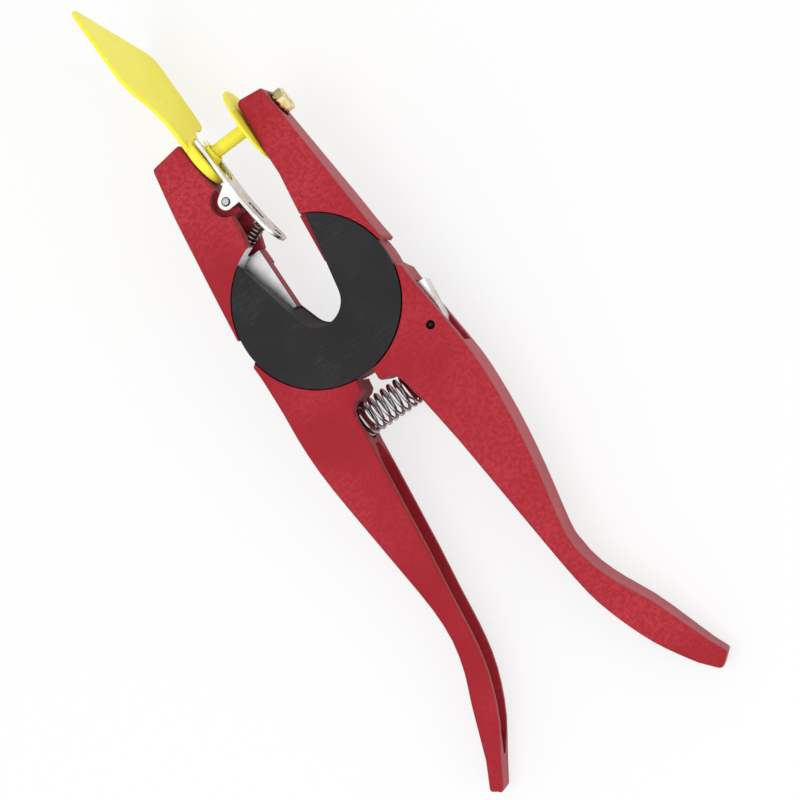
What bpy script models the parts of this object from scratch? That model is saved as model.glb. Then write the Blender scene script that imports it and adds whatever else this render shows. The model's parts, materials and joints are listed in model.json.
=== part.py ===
"""Ear tag applicator: crossed cast arms on an open-throat hub, loaded with a flag tag.

The tool is laid out in its own plane: +Y runs from the hub centre to the jaws, +X to the
pin arm's jaw and +Z to the front. At the end the whole is set down on its back as it comes
to rest on a table. Sizes are in millimetres until MM turns them into metres.
"""

import math

import bmesh
import bpy
import numpy as np
from mathutils import Matrix, Vector

MM = 0.001
WELD = 0.004         # points nearer than this are one

# Fits
GAP = 0.3            # between a piece and what it rests on or turns in
RING_GAP = 0.5       # between an arm and the hub cover or ring that it wraps round

# Hub
COVER_R = 29.7
HUB_GROWTH = COVER_R - 29.7   # past the hub that the silhouettes are drawn round
HUB_REACH = 30.0     # how far from the hub its growth still moves them
SEAT_R = COVER_R + RING_GAP
RING_R = COVER_R - 0.2
CORE_R = 13.5
BORE_R = CORE_R + GAP
THROAT_R = 9.0
THROAT_BACK_R = 7.2
THROAT_LEFT_DEG = 13.4
THROAT_RIGHT_DEG = 10.5
THROAT_BACK_LEFT_DEG = 19.0
COVER_T = 2.4
ARM_HALF = 9.2       # half thickness of the arms at the hub
COVER_PROUD = 0.3
LAP_GAP = 0.3        # between the two rings
SKIRT_T = 2.4
REAR_COVER_R = 24.0
CLIP_THROAT_X = -8.7
CLIP_THROAT_Y = 4.0
PIN_THROAT_R = 9.06
PIN_THROAT_DEG = 5.0
OPEN_DEG = 16.0      # opening of the jaws past the modelled pose
SCREW_ANGLES = (218.0, 270.0, 322.0)
SCREW_SHANK_R = 1.35
SCREW_HEAD_R = 2.5
SCREW_HEAD_T = 1.7
SCREW_LENGTH = 9.0

# Arms: half thickness at stations along the tool
THICKNESS = ((-172.0, 5.0), (-163.0, 6.2), (-150.0, 7.6), (-136.0, 8.6), (-115.0, 9.1),
             (-80.0, ARM_HALF), (24.0, ARM_HALF), (73.0, 6.6))
ARM_ROUND = 1.0
GRIP_WALL = 2.3      # walls beside the lightening channel of each grip
GRIP_FLOOR = 0.45    # share of the grip's width left behind the channel

# Tag, its pin and the clip
PIN_Y = 64.6
PIN_R = 1.2
STUD_R = 2.4
PIN_COLLAR_R = 3.6
PIN_COLLAR_T = 1.6
NUT_FLATS = 8.0
NUT_T = 4.0
WASHER_R = 4.8
WASHER_T = 0.9
WASHER_SEAT_X = 24.6
STUD_END_X = 30.9
BUTTON_R = 14.6
BUTTON_X = 12.7
BUTTON_T = 1.1
STEM_R = 2.2
STEM_BORE_R = PIN_R + GAP
STEM_TIP_X = -3.0
STEM_POINT_L = 3.0
STEM_SHANK_L = 2.4
TAG_X = -7.0
TAG_Y = PIN_Y - 0.4
TAG_LEAN_DEG = 5.3
TAG_TURN_DEG = 14.5
TAG_T = 1.5
TAG_PAD_T = 3.4
TAG_PAD_R = 9.5
TAG_W = 58.0
TAG_TOP = 66.0
TAG_SHOULDER = 26.5
TAG_NECK = 8.0
COLLAR_R = 3.9
COLLAR_BORE_R = 3.0
COLLAR_END = 6.2
CLIP_T = 1.2
CLIP_HALF = 6.6
CLIP_SLOT_HALF = COLLAR_R + 0.4
CLIP_PIN = (-7.3, 46.7)
CLIP_PIN_R = 1.3
EAR_R = 3.0
EAR_RECESS_R = 5.5
RIB_HALF = 3.8
CLIP_SPRING_R = 2.4
CLIP_SPRING_WIRE = 0.8

# Return spring between the grips
SPRING_Y = -42.0
SPRING_LEFT_X = -12.6
SPRING_RIGHT_X = 9.8
SPRING_R = 5.3
SPRING_WIRE = 1.3
SPRING_TURNS = 8.0
SPRING_SEAT_R = SPRING_R + SPRING_WIRE / 2 + 0.6
STUB_R = SPRING_R - SPRING_WIRE / 2 - 0.8

# Lock lever
LEVER_PIN_DRAWN = (28.0, -29.2)
LEVER_PIN_R = 1.3
LEVER_HALF = 4.2
LEVER_EYE_R = 3.0
LEVER_SHEET = 1.3
LEVER_SLOT_HALF = LEVER_HALF + 0.7
LEVER_SPRING_R = 2.2
LEVER_SPRING_WIRE = 0.7

COLOURS = {
    "red": ((0.42, 0.035, 0.045), 0.0, 0.45), "black": ((0.025, 0.025, 0.027), 0.0, 0.5),
    "steel": ((0.62, 0.62, 0.63), 1.0, 0.25), "brass": ((0.58, 0.45, 0.18), 1.0, 0.3),
    "yellow": ((0.87, 0.74, 0.07), 0.0, 0.45), "dark_steel": ((0.12, 0.12, 0.12), 1.0, 0.4),
}


def clear_scene():
    """Removes whatever the scene holds."""
    for obj in list(bpy.data.objects):
        bpy.data.objects.remove(obj)


def half_thickness(y):
    ys, halves = zip(*THICKNESS)
    return float(np.interp(y, ys, halves))


def polar(radius, degrees, centre=(0.0, 0.0)):
    a = math.radians(degrees)
    return (centre[0] + radius * math.cos(a), centre[1] + radius * math.sin(a))


def with_hub(points):
    """Moves drawn points out with the hub's growth, less the further they are from it."""
    moved = []
    for x, y in points:
        far = math.hypot(x, y)
        share = min(1.0, max(0.0, 1 - (far - (COVER_R - HUB_GROWTH)) / HUB_REACH))
        moved.append((x * (1 + HUB_GROWTH * share / far), y * (1 + HUB_GROWTH * share / far)))
    return moved


def arc(radius, start, end, count, centre=(0.0, 0.0)):
    """Points on a circle from one angle to another, in degrees."""
    return [polar(radius, start + (end - start) * i / (count - 1), centre) for i in range(count)]


def spline(points, per=4):
    """A smooth line through every point given."""
    p = [np.array(q, float) for q in points]
    p = [2 * p[0] - p[1]] + p + [2 * p[-1] - p[-2]]
    out = []
    for i in range(1, len(p) - 2):
        a, b, c, d = p[i - 1:i + 3]
        for k in range(per):
            t = k / per
            out.append(tuple(0.5 * (2 * b + (c - a) * t + (2 * a - 5 * b + 4 * c - d) * t * t
                                    + (3 * b - a - 3 * c + d) * t ** 3)))
    return out + [tuple(p[-2])]


def corner(before, at, after, radius, count=4):
    """Points that round the corner at `at` between its two neighbours."""
    a, b, c = (Vector(v) for v in (before, at, after))
    u, v = (a - b).normalized(), (c - b).normalized()
    turn = u.angle(v)
    reach = radius / math.tan(turn / 2)
    middle = b + (u + v).normalized() * radius / math.sin(turn / 2)
    start, end = b + u * reach - middle, b + v * reach - middle
    sweep = start.angle_signed(end)
    return [tuple(middle + Matrix.Rotation(-sweep * i / (count - 1), 2) @ start)
            for i in range(count)]


def flank_point(inner_r, lean, side, outer_r):
    """Where a throat flank, `inner_r` from the centre and leaning outward, meets a circle."""
    a = math.radians(lean)
    foot = Vector((side * inner_r * math.cos(a), -inner_r * math.sin(a)))
    along = Vector((side * math.sin(a), math.cos(a)))
    return foot + along * math.sqrt(outer_r ** 2 - inner_r ** 2)


def throat(inner_r, left, right, reach, count=17):
    """Outline of the open throat: down the left flank, round the bottom, up the right one."""
    return ([tuple(flank_point(inner_r, left, -1, reach))]
            + arc(inner_r, 180 + left, 360 - right, count)
            + [tuple(flank_point(inner_r, right, 1, reach))])


def new_object(name, mesh):
    obj = bpy.data.objects.new(name, mesh)
    bpy.context.scene.collection.objects.link(obj)
    return obj


def from_bmesh(name, bm):
    bmesh.ops.recalc_face_normals(bm, faces=bm.faces)
    mesh = bpy.data.meshes.new(name)
    bm.to_mesh(mesh)
    bm.free()
    mesh.transform(Matrix.Scale(MM, 4))
    return new_object(name, mesh)


def prism(name, outline, low, high):
    """A straight solid over an XY outline."""
    bm = bmesh.new()
    face = bm.faces.new([bm.verts.new((x, y, low)) for x, y in outline])
    moved = bmesh.ops.extrude_face_region(bm, geom=[face])["geom"]
    bmesh.ops.translate(bm, vec=(0, 0, high - low),
                        verts=[v for v in moved if isinstance(v, bmesh.types.BMVert)])
    return from_bmesh(name, bm)


def loft(name, rings):
    """A solid through rings of equally many 3D points, closed at both ends."""
    bm = bmesh.new()
    levels = [[bm.verts.new(p) for p in ring] for ring in rings]
    n = len(levels[0])
    for lower, upper in zip(levels, levels[1:]):
        for i in range(n):
            bm.faces.new((lower[i], lower[(i + 1) % n], upper[(i + 1) % n], upper[i]))
    bm.faces.new(levels[0][::-1])
    bm.faces.new(levels[-1])
    return from_bmesh(name, bm)


def lathe(name, profile, start, axis="X", steps=32):
    """A turned solid: (along, radius) pairs about an axis through `start`."""
    turn = {"X": Matrix.Rotation(math.radians(90), 3, "Y"), "Z": Matrix.Identity(3)}[axis]
    rings = []
    for along, radius in profile:
        ring = [(radius * math.cos(2 * math.pi * i / steps),
                 radius * math.sin(2 * math.pi * i / steps), along) for i in range(steps)]
        rings.append([tuple(Vector(start) + turn @ Vector(p)) for p in ring])
    return loft(name, rings)


def coil(name, radius, wire, turns, length, start, along, closed=0.12, sides=8, per_turn=18):
    """A coil spring whose end turns lie closer than the middle ones."""
    axis = Vector(along).normalized()
    side = axis.orthogonal().normalized()
    other = axis.cross(side)
    count = int(turns * per_turn) + 1
    ends = np.array([0, 1 / turns, 1 - 1 / turns, 1])
    heights = np.array([0, closed, 1 - closed, 1])
    rings = []
    for i in range(count):
        t = i / (count - 1)
        height = float(np.interp(t, ends, heights)) * (length - wire) + wire / 2
        a = 2 * math.pi * turns * t
        out = side * math.cos(a) + other * math.sin(a)
        centre = Vector(start) + axis * height + out * radius
        rings.append([tuple(centre + (out * math.cos(b) + axis * math.sin(b)) * wire / 2)
                      for b in (2 * math.pi * k / sides for k in range(sides))])
    return loft(name, rings)


def boolean(obj, tool, operation="DIFFERENCE"):
    """Cuts or joins with the exact solver and removes the tool."""
    modifier = obj.modifiers.new(operation, "BOOLEAN")
    modifier.operation = operation
    modifier.solver = "EXACT"
    modifier.object = tool
    graph = bpy.context.evaluated_depsgraph_get()
    mesh = bpy.data.meshes.new_from_object(obj.evaluated_get(graph))
    obj.modifiers.clear()
    old, obj.data = obj.data, mesh
    bpy.data.meshes.remove(old)
    bpy.data.objects.remove(tool)
    return obj


def cut(obj, *tools):
    for tool in tools:
        boolean(obj, tool)
    return obj


def join(obj, *tools):
    for tool in tools:
        boolean(obj, tool, "UNION")
    return obj


def disc(name, radius, low, high, centre=(0.0, 0.0), steps=48):
    """A round solid along Z."""
    return prism(name, arc(radius, 0, 360 - 360 / steps, steps, centre), low, high)


def bore(name, radius, start, length, steps=24):
    """A round solid along X."""
    return lathe(name, [(0, radius), (length, radius)], start, "X", steps)


def cast_arm(name, outline):
    """An arm from its silhouette: thickness follows THICKNESS, and the edges are rounded."""
    bm = bmesh.new()
    bm.faces.new([bm.verts.new((x, y, -1)) for x, y in outline])
    for y, _ in THICKNESS[1:-1]:
        bmesh.ops.bisect_plane(bm, geom=bm.verts[:] + bm.edges[:] + bm.faces[:],
                               plane_co=(0, y, 0), plane_no=(0, 1, 0))
    moved = bmesh.ops.extrude_face_region(bm, geom=bm.faces[:])["geom"]
    for v in moved:
        if isinstance(v, bmesh.types.BMVert):
            v.co.z = 1
    for v in bm.verts:
        v.co.z *= half_thickness(v.co.y)
    bmesh.ops.recalc_face_normals(bm, faces=bm.faces)
    rim = [e for e in bm.edges if len(e.link_faces) == 2
           and sum(abs(f.normal.z) > 0.7 for f in e.link_faces) == 1]
    bmesh.ops.bevel(bm, geom=rim, offset=ARM_ROUND, segments=2, profile=0.5, affect="EDGES")
    return from_bmesh(name, bm)


def grip_channel(name, inner, outer):
    """The long lightening channel in a grip's inner face, round at the hub end."""
    rings = []
    inner, outer = spline(inner, 3), spline(outer, 3)
    for i, (a, b) in enumerate(zip(inner, outer)):
        a, b = Vector(a), Vector(b)
        wall = half_thickness(a.y) - GRIP_WALL
        wall *= min(1.0, 0.35 + 0.3 * i, 0.35 + 0.3 * (len(inner) - 1 - i))
        mouth = a + (a - b) * 0.25
        floor = a + (b - a) * (1 - GRIP_FLOOR) * (0.55 if i in (0, len(inner) - 1) else 1)
        rings.append([(mouth.x, mouth.y, -wall), (mouth.x, mouth.y, wall),
                      (floor.x, floor.y, wall * 0.8), (floor.x, floor.y, -wall * 0.8)])
    return loft(name, rings)


# Silhouettes of the arms, clockwise from the foot of each jaw
CLIP_JAW = (spline(with_hub([(-30.8, 4.7), (-29.9, 13), (-28.0, 30.7), (-25.9, 51.5), (-23.2, 70.2)]), 3)
            + corner((-23.2, 70.2), (-22.9, 71.6), (-9.9, 73.1), 1.2)[1:]
            + corner((-22.9, 71.6), (-9.9, 73.1), (-8.9, 61), 1.4)
            + with_hub([(-8.9, 61.0), (-8.4, 54.0), (-8.0, 41.0), (-8.5, 33.5), (-9.3, 30.0)]))
CLIP_GRIP_OUT = with_hub([(30.4, -6.2), (31.3, -7.6), (31.6, -14.0), (33.0, -29.0), (34.4, -44.0),
                 (34.3, -55.0), (33.3, -68.0), (31.4, -82.0), (29.0, -95.0), (26.4, -108.0),
                 (26.0, -115.0), (27.8, -124.3), (31.5, -133.3), (36.5, -142.8),
                 (41.1, -154.3), (44.8, -164.2)])
CLIP_GRIP_IN = with_hub([(41.0, -173.2), (37.3, -167.9), (33.3, -161.8), (29.3, -154.8), (25.7, -146.3),
                (23.0, -138.4), (20.9, -130.1), (19.2, -117.2), (17.4, -100.0), (15.8, -85.0),
                (13.9, -66.0), (11.6, -49.2)])
CLIP_NOSE = with_hub([(10.8, -45.3), (10.1, -41.4), (9.1, -38.0), (7.2, -35.6), (3.6, -34.8),
             (3.0, -33.8), (3.1, -31.2)])
PIN_JAW = (with_hub([(12.0, 27.0), (12.7, 33.3), (13.9, 43.0), (13.9, 51.0), (14.6, 66.0)])
           + corner((14.6, 66.0), (15.0, 72.8), (25.0, 71.4), 1.8)
           + corner((15.0, 72.8), (25.2, 71.4), (25.9, 64), 0.8)
           + spline(with_hub([(26.0, 65.0), (27.2, 50.0), (28.9, 31.0), (30.3, 13.0),
                              (31.2, 4.9)]), 3))
PIN_GRIP_IN = with_hub([(-11.7, -50.0), (-12.5, -59.4), (-13.9, -73.0), (-15.6, -90.0), (-17.6, -106.0),
               (-19.0, -119.2), (-20.8, -129.8), (-24.1, -140.1), (-28.7, -149.9),
               (-34.6, -159.2), (-40.4, -168.6)])
PIN_GRIP_OUT = with_hub([(-43.8, -165.3), (-39.8, -157.6), (-36.4, -148.9), (-32.9, -139.8),
                (-28.9, -130.3), (-26.1, -119.2), (-25.8, -107.0), (-27.4, -92.0),
                (-29.0, -78.0), (-30.9, -62.7), (-32.2, -48.0), (-32.2, -35.0),
                (-31.5, -25.0), (-31.1, -12.0), (-31.3, -6.0)])
PIN_NOSE = with_hub([(-3.9, -31.0), (-4.2, -33.6), (-5.6, -34.8), (-8.6, -35.8), (-10.4, -38.2),
            (-10.9, -41.7), (-11.2, -46.0)])
SPRING_AT = with_hub([(0.0, SPRING_Y)])[0][1]
LEVER_PIN = with_hub([LEVER_PIN_DRAWN])[0]


def clip_arm():
    """The arm with the clip jaw and the right grip; its ring is the rear one."""
    outline = (CLIP_JAW + arc(RING_R, 108, -8, 24) + CLIP_GRIP_OUT[:1]
               + spline(CLIP_GRIP_OUT[1:], 2)
               + corner(CLIP_GRIP_OUT[-1], (47.6, -170.0), CLIP_GRIP_IN[0], 1.0)
               + corner((47.6, -170.0), (42.6, -173.8), CLIP_GRIP_IN[1], 1.8)
               + spline(CLIP_GRIP_IN[1:], 2)
               + spline(CLIP_NOSE[:5], 2) + CLIP_NOSE[5:] + arc(RING_R, -84, -188, 22))
    arm = cast_arm("clip_arm", outline)
    lap = -LAP_GAP / 2
    cover_back = -ARM_HALF + COVER_T - COVER_PROUD + GAP
    flank = throat(THROAT_R + 0.6, 0, THROAT_RIGHT_DEG, RING_R + 10.5)
    tooth = math.degrees(math.asin(CLIP_THROAT_Y / BORE_R))
    bore_end = -THROAT_RIGHT_DEG + math.degrees(math.acos((THROAT_R + 0.6) / BORE_R))
    opening = ([(CLIP_THROAT_X, RING_R + 4.5), (CLIP_THROAT_X, CLIP_THROAT_Y)]
               + arc(BORE_R, 180 - tooth, 360 + bore_end, 36) + [flank[-1]])
    cut(arm, disc("seat", SEAT_R, lap, 20, steps=96), prism("opening", opening, -20, 0.4),
        disc("rear_seat", REAR_COVER_R + GAP, -20, cover_back, steps=72))
    # Recesses of the clip's ears, the channel of its spring and the way out for the tag's point.
    channel_half = CLIP_SPRING_R + CLIP_SPRING_WIRE / 2 + 0.7
    cut(arm, disc("ear_front", EAR_RECESS_R, RIB_HALF, 20, CLIP_PIN),
        disc("ear_back", EAR_RECESS_R, -20, -RIB_HALF, CLIP_PIN),
        prism("spring_channel", [(0, 27.5), (0, 41.5), (-11.5, 41.5), (-13.4, 39.5), (-13.4, 27.5)],
              -channel_half, channel_half),
        bore("point_way", COLLAR_BORE_R + 1.2, (-18.5, TAG_Y, 0), 30),
        disc("clip_pin_hole", CLIP_PIN_R + GAP, -20, 20, CLIP_PIN, 24))
    # Slot and pin hole of the lock lever, seat of the return spring, channel of the grip.
    slot = with_hub([(29.6, -13.6), (26.4, -22.0), (24.0, -26.5), (24.0, -32.5), (27.5, -36.5),
                     (31.0, -39.2)])
    slot = [(60, slot[0][1])] + slot + [(60, slot[-1][1])]
    cut(arm, prism("lever_slot", slot, -LEVER_SLOT_HALF, LEVER_SLOT_HALF),
        disc("lever_pin_hole", LEVER_PIN_R + GAP, -20, 20, LEVER_PIN, 24),
        bore("spring_seat", SPRING_SEAT_R, (SPRING_RIGHT_X - 12, SPRING_AT, 0), 12 + GAP, 32),
        grip_channel("channel", CLIP_GRIP_IN[2:-1][::-1],
                     [(33.6, -66), (31.2, -83), (28.0, -99), (26.2, -114), (28.9, -128.5),
                      (32.3, -136), (37.0, -144.6), (41.2, -153.2), (44.6, -160.2)]))
    stub = lathe("stub", [(0, STUB_R), (5.4, STUB_R), (6.4, STUB_R - 1)],
                 (SPRING_RIGHT_X + 3, SPRING_AT, 0), "X", 24)
    stub.data.transform(Matrix.Translation((2 * (SPRING_RIGHT_X + 3) * MM, 0, 0))
                        @ Matrix.Scale(-1, 4, (1, 0, 0)))
    stub.data.flip_normals()
    return join(arm, stub)


def pin_arm():
    """The arm with the pin jaw and the left grip; its ring is the front one."""
    outline = (PIN_JAW + arc(RING_R, 8, -96.5, 22) + PIN_NOSE + spline(PIN_GRIP_IN, 2)
               + corner(PIN_GRIP_IN[-1], (-42.0, -169.6), PIN_GRIP_OUT[0], 1.2)
               + corner((-41.6, -169.4), (-44.8, -166.8), PIN_GRIP_OUT[1], 1.0)
               + spline(PIN_GRIP_OUT[1:], 2) + arc(RING_R, 188, 68, 24))
    arm = cast_arm("pin_arm", outline)
    lap = LAP_GAP / 2
    cover_seat = ARM_HALF + COVER_PROUD - COVER_T - GAP
    stop = THROAT_LEFT_DEG + OPEN_DEG + 0.5
    left = flank_point(THROAT_R + SKIRT_T + 0.4, stop, -1, RING_R + 10.5)
    right = flank_point(PIN_THROAT_R, PIN_THROAT_DEG, 1, RING_R + 1.6)
    opening = [tuple(right), (right.x, RING_R + 3.5), (-RING_R - 10.5, RING_R + 3.5), tuple(left),
               polar(THROAT_R + SKIRT_T + 0.4, 180 + stop), polar(PIN_THROAT_R, -PIN_THROAT_DEG)]
    cut(arm, disc("seat", SEAT_R, -20, lap, steps=96),
        disc("cover_seat", SEAT_R, cover_seat, 20, steps=96),
        disc("bore", BORE_R, -20, 20, steps=64), prism("opening", opening, -1, 7.4))
    # Bore of the tag pin with its counterbores.
    cut(arm, bore("stud_hole", STUD_R + GAP, (5, PIN_Y, 0), 40),
        bore("collar_seat", PIN_COLLAR_R + GAP, (5, PIN_Y, 0), 12.4),
        bore("washer_seat", WASHER_R + 0.5, (WASHER_SEAT_X, PIN_Y, 0), 20, 32))
    cut(arm, bore("spring_seat", SPRING_SEAT_R, (SPRING_LEFT_X - GAP, SPRING_AT, 0), 12, 32),
        grip_channel("channel", PIN_GRIP_IN[:-1],
                     [(-32.0, -50), (-31.2, -61), (-29.8, -75), (-27.6, -92), (-26.0, -109),
                      (-27.0, -123), (-30.6, -134.5), (-35.0, -144.5), (-39.2, -154),
                      (-42.4, -162)]))
    stub = lathe("stub", [(0, STUB_R), (5.4, STUB_R), (6.4, STUB_R - 1)],
                 (SPRING_LEFT_X - 3, SPRING_AT, 0), "X", 24)
    return join(arm, stub)


def front_cover():
    """The front hub cover, moulded with the core that both rings turn on."""
    plate_back = ARM_HALF + COVER_PROUD - COVER_T
    cover = disc("front_hub_cover", COVER_R, plate_back, ARM_HALF + COVER_PROUD, steps=96)
    back = -ARM_HALF + COVER_T - COVER_PROUD + GAP / 2
    core = disc("core", CORE_R, back, plate_back + 0.5, steps=64)
    foot = math.radians(180 + THROAT_LEFT_DEG)
    out = Vector((math.cos(foot), math.sin(foot)))
    up = Vector((-math.sin(math.radians(THROAT_LEFT_DEG)), math.cos(math.radians(THROAT_LEFT_DEG))))
    end = math.sqrt(COVER_R ** 2 - THROAT_R ** 2) - 0.9
    low, high = out * (THROAT_R - 2.5) + up * 2, out * (THROAT_R - 2.5) + up * end
    skirt = prism("skirt", [tuple(low), tuple(high), tuple(high + out * (SKIRT_T + 2.5)),
                            tuple(low + out * (SKIRT_T + 2.5))], LAP_GAP / 2, plate_back + 0.5)
    join(cover, core, skirt)
    front = throat(THROAT_R, THROAT_LEFT_DEG, THROAT_RIGHT_DEG, COVER_R + 14.3)
    rear = throat(THROAT_BACK_R, THROAT_BACK_LEFT_DEG, THROAT_RIGHT_DEG, COVER_R + 14.3)
    face = ARM_HALF + COVER_PROUD + 0.1
    slot = loft("slot", [[(x, y, -face) for x, y in rear], [(x, y, face) for x, y in front]])
    far = COVER_R + GAP
    notch = prism("notch", [(-far, CLIP_THROAT_Y - GAP), (0, CLIP_THROAT_Y - GAP), (0, far),
                            (-far, far)], -20, LAP_GAP / 2 - 0.1)
    cut(cover, notch, slot)
    for angle in SCREW_ANGLES:
        x, y = polar((CORE_R + THROAT_R) / 2 + 0.2, angle)
        cut(cover, disc("hole", SCREW_SHANK_R + GAP, -20, back + SCREW_LENGTH, (x, y), 20))
    return cover


def rear_cover():
    """The rear hub cover, sunk in the clip arm's ring and screwed to the core."""
    back = -ARM_HALF - COVER_PROUD
    cover = disc("rear_hub_cover", REAR_COVER_R, back, back + COVER_T, steps=72)
    rear = throat(THROAT_BACK_R, THROAT_BACK_LEFT_DEG, THROAT_RIGHT_DEG, COVER_R + 14.3)
    cut(cover, prism("slot", rear, -20, 0))
    for angle in SCREW_ANGLES:
        x, y = polar((CORE_R + THROAT_R) / 2 + 0.2, angle)
        cut(cover, disc("hole", SCREW_SHANK_R + GAP, -20, 20, (x, y), 20),
            disc("sink", SCREW_HEAD_R + GAP, -20, back + 1.2, (x, y), 24))
    return cover


def hub_screw(number, angle):
    """A pan-head screw from the rear with a cross recess."""
    x, y = polar((CORE_R + THROAT_R) / 2 + 0.2, angle)
    seat = -ARM_HALF - COVER_PROUD + 1.2 - GAP
    profile = [(seat - SCREW_HEAD_T, SCREW_HEAD_R - 0.7), (seat - SCREW_HEAD_T + 0.5, SCREW_HEAD_R),
               (seat, SCREW_HEAD_R), (seat, SCREW_SHANK_R), (seat + SCREW_LENGTH - 0.8, SCREW_SHANK_R),
               (seat + SCREW_LENGTH, SCREW_SHANK_R - 0.6)]
    screw = lathe(f"hub_screw_{number}", profile, (x, y, 0), "Z", 20)
    for long, wide in ((1.5, 0.35), (0.35, 1.5)):
        box = [(x - long, y - wide), (x + long, y - wide), (x + long, y + wide), (x - long, y + wide)]
        cut(screw, prism("cross", box, -20, seat - SCREW_HEAD_T + 0.9))
    return screw


def clip():
    """The sprung clip: a forked sheet with two ears folded back onto the jaw."""
    line = [(-4.9, 71.4), (-4.0, 52.0), (-3.5, 44.6), (-2.4, 36.5), (-1.4, 31.0), (0.1, 25.3)]
    pts = [Vector(p) for p in line]
    normals = []
    for i in range(len(pts)):
        way = (pts[min(i + 1, len(pts) - 1)] - pts[max(i - 1, 0)]).normalized()
        normals.append(Vector((-way.y, way.x)))
    outline = ([tuple(p) for p in pts]
               + [tuple(p + n * CLIP_T) for p, n in reversed(list(zip(pts, normals)))])
    sheet = prism("clip", outline, -CLIP_HALF, CLIP_HALF)
    # Seen along X: round prong tips and tail, the fork and the hole in the tail.
    tip, tail = 71.6, 25.1
    edge = CLIP_HALF
    face = (arc(CLIP_HALF, 180, 360, 13, (0, tail + CLIP_HALF)) + [(edge, 60.0)]
            + [(edge, tip - 1.2), (edge - 0.9, tip), (CLIP_SLOT_HALF, tip - 0.3)]
            + [(CLIP_SLOT_HALF, 57.5)] + arc(CLIP_SLOT_HALF, 0, -180, 9, (0, 57.5))
            + [(-CLIP_SLOT_HALF, tip - 0.3), (-edge + 0.9, tip), (-edge, tip - 1.2), (-edge, 60)])
    keep = loft("keep", [[(-20, y, z) for z, y in face], [(10, y, z) for z, y in face]])
    boolean(sheet, keep, "INTERSECT")
    ear = arc(EAR_R, 262, 128, 9, CLIP_PIN) + [(-4.3, 52.4), (-3.2, 52.2), (-2.9, 43.9)]
    for side in (-1, 1):
        z = sorted((side * (CLIP_HALF - 0.05), side * (CLIP_HALF - CLIP_T)))
        join(sheet, prism("ear", ear, *z))
    cut(sheet, disc("hole", CLIP_PIN_R + GAP, -20, 20, CLIP_PIN, 24),
        bore("tail_hole", 1.5, (-10, tail + 3.5, 0), 20, 20))
    return sheet


def clip_pin():
    """The rivet that the clip swings on."""
    end = CLIP_HALF + 0.6
    return lathe("clip_pivot_pin", [(-end, 1.0), (-end + 0.4, CLIP_PIN_R), (end - 0.4, CLIP_PIN_R),
                                    (end, 1.0)], (*CLIP_PIN, 0), "Z", 24)


def female_tag():
    """The flag half of the tag with the collar that takes the stem."""
    half = TAG_W / 2
    side = ([(half - 4, TAG_TOP)] + corner((half - 4, TAG_TOP), (half, TAG_TOP), (half, 30), 3.5)
            + corner((half, 40), (half, TAG_SHOULDER), (TAG_NECK + 6, TAG_SHOULDER - 4), 2.2)
            + spline([(TAG_NECK + 6.5, TAG_SHOULDER - 4.6), (TAG_NECK + 2, 18.0),
                      (TAG_NECK + 0.3, 12.0)], 2))
    start = math.degrees(math.acos(TAG_NECK / TAG_PAD_R)) - 2
    outline = side + arc(TAG_PAD_R, start, -180 - start, 21) + [(-w, v) for w, v in reversed(side)]
    # Built flat with its face along X, then leaned and turned about the collar.
    flag = loft("female_tag", [[(-TAG_T, v, w) for w, v in outline],
                               [(0, v, w) for w, v in outline]])
    pad = lathe("pad", [(-TAG_T + 0.1, TAG_PAD_R - 0.6),
                        (TAG_PAD_T - TAG_T - 0.3, TAG_PAD_R - 0.6),
                        (TAG_PAD_T - TAG_T, TAG_PAD_R - 0.9)], (0, 0, 0), "X", 48)
    collar = lathe("collar", [(-0.5, COLLAR_R), (COLLAR_END - 0.6, COLLAR_R),
                              (COLLAR_END, COLLAR_R - 0.5)], (0, 0, 0), "X", 32)
    join(flag, pad, collar)
    cut(flag, bore("bore", COLLAR_BORE_R, (-10, 0, 0), 30, 32))
    place = (Matrix.Translation(Vector((TAG_X, TAG_Y, 0)) * MM)
             @ Matrix.Rotation(math.radians(TAG_LEAN_DEG), 4, "Z")
             @ Matrix.Rotation(math.radians(-TAG_TURN_DEG), 4, "X"))
    flag.data.transform(place)
    return flag


def male_button():
    """The button half of the tag, with a stem that is hollow for the pin."""
    face = BUTTON_X
    profile = [(STEM_TIP_X + STEM_POINT_L, STEM_R), (face - 2.0, STEM_R),
               (face - 0.6, STEM_R + 1.0), (face, BUTTON_R - 1.5), (face + 0.4, BUTTON_R),
               (face + BUTTON_T - 0.4, BUTTON_R), (face + BUTTON_T, BUTTON_R - 0.6)]
    button = lathe("male_button", profile, (0, PIN_Y, 0), "X", 48)
    return cut(button, bore("hollow", STEM_BORE_R, (STEM_TIP_X, PIN_Y, 0), 40, 20))


def stem_point():
    """The hard point set in the end of the stem."""
    base = STEM_TIP_X + STEM_POINT_L - GAP
    return lathe("stem_point", [(STEM_TIP_X, 0.35), (base, STEM_R), (base, PIN_R),
                                (base + STEM_SHANK_L, PIN_R)], (0, PIN_Y, 0), "X", 24)


def tag_pin():
    """The pin that carries the button's stem, with its collar and threaded stud."""
    collar = BUTTON_X + BUTTON_T + GAP
    end = STEM_TIP_X + STEM_POINT_L + STEM_SHANK_L + GAP
    profile = [(end, 0.5), (end + 1.2, PIN_R), (collar, PIN_R),
               (collar, PIN_COLLAR_R), (collar + PIN_COLLAR_T, PIN_COLLAR_R),
               (collar + PIN_COLLAR_T, STUD_R), (STUD_END_X - 0.5, STUD_R),
               (STUD_END_X, STUD_R - 0.5)]
    return lathe("tag_pin", profile, (0, PIN_Y, 0), "X", 24)


def pin_washer():
    x = WASHER_SEAT_X + GAP
    washer = lathe("pin_washer", [(x, WASHER_R), (x + WASHER_T, WASHER_R)], (0, PIN_Y, 0), "X", 32)
    return cut(washer, bore("hole", STUD_R + GAP, (0, PIN_Y, 0), 60, 24))


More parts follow.
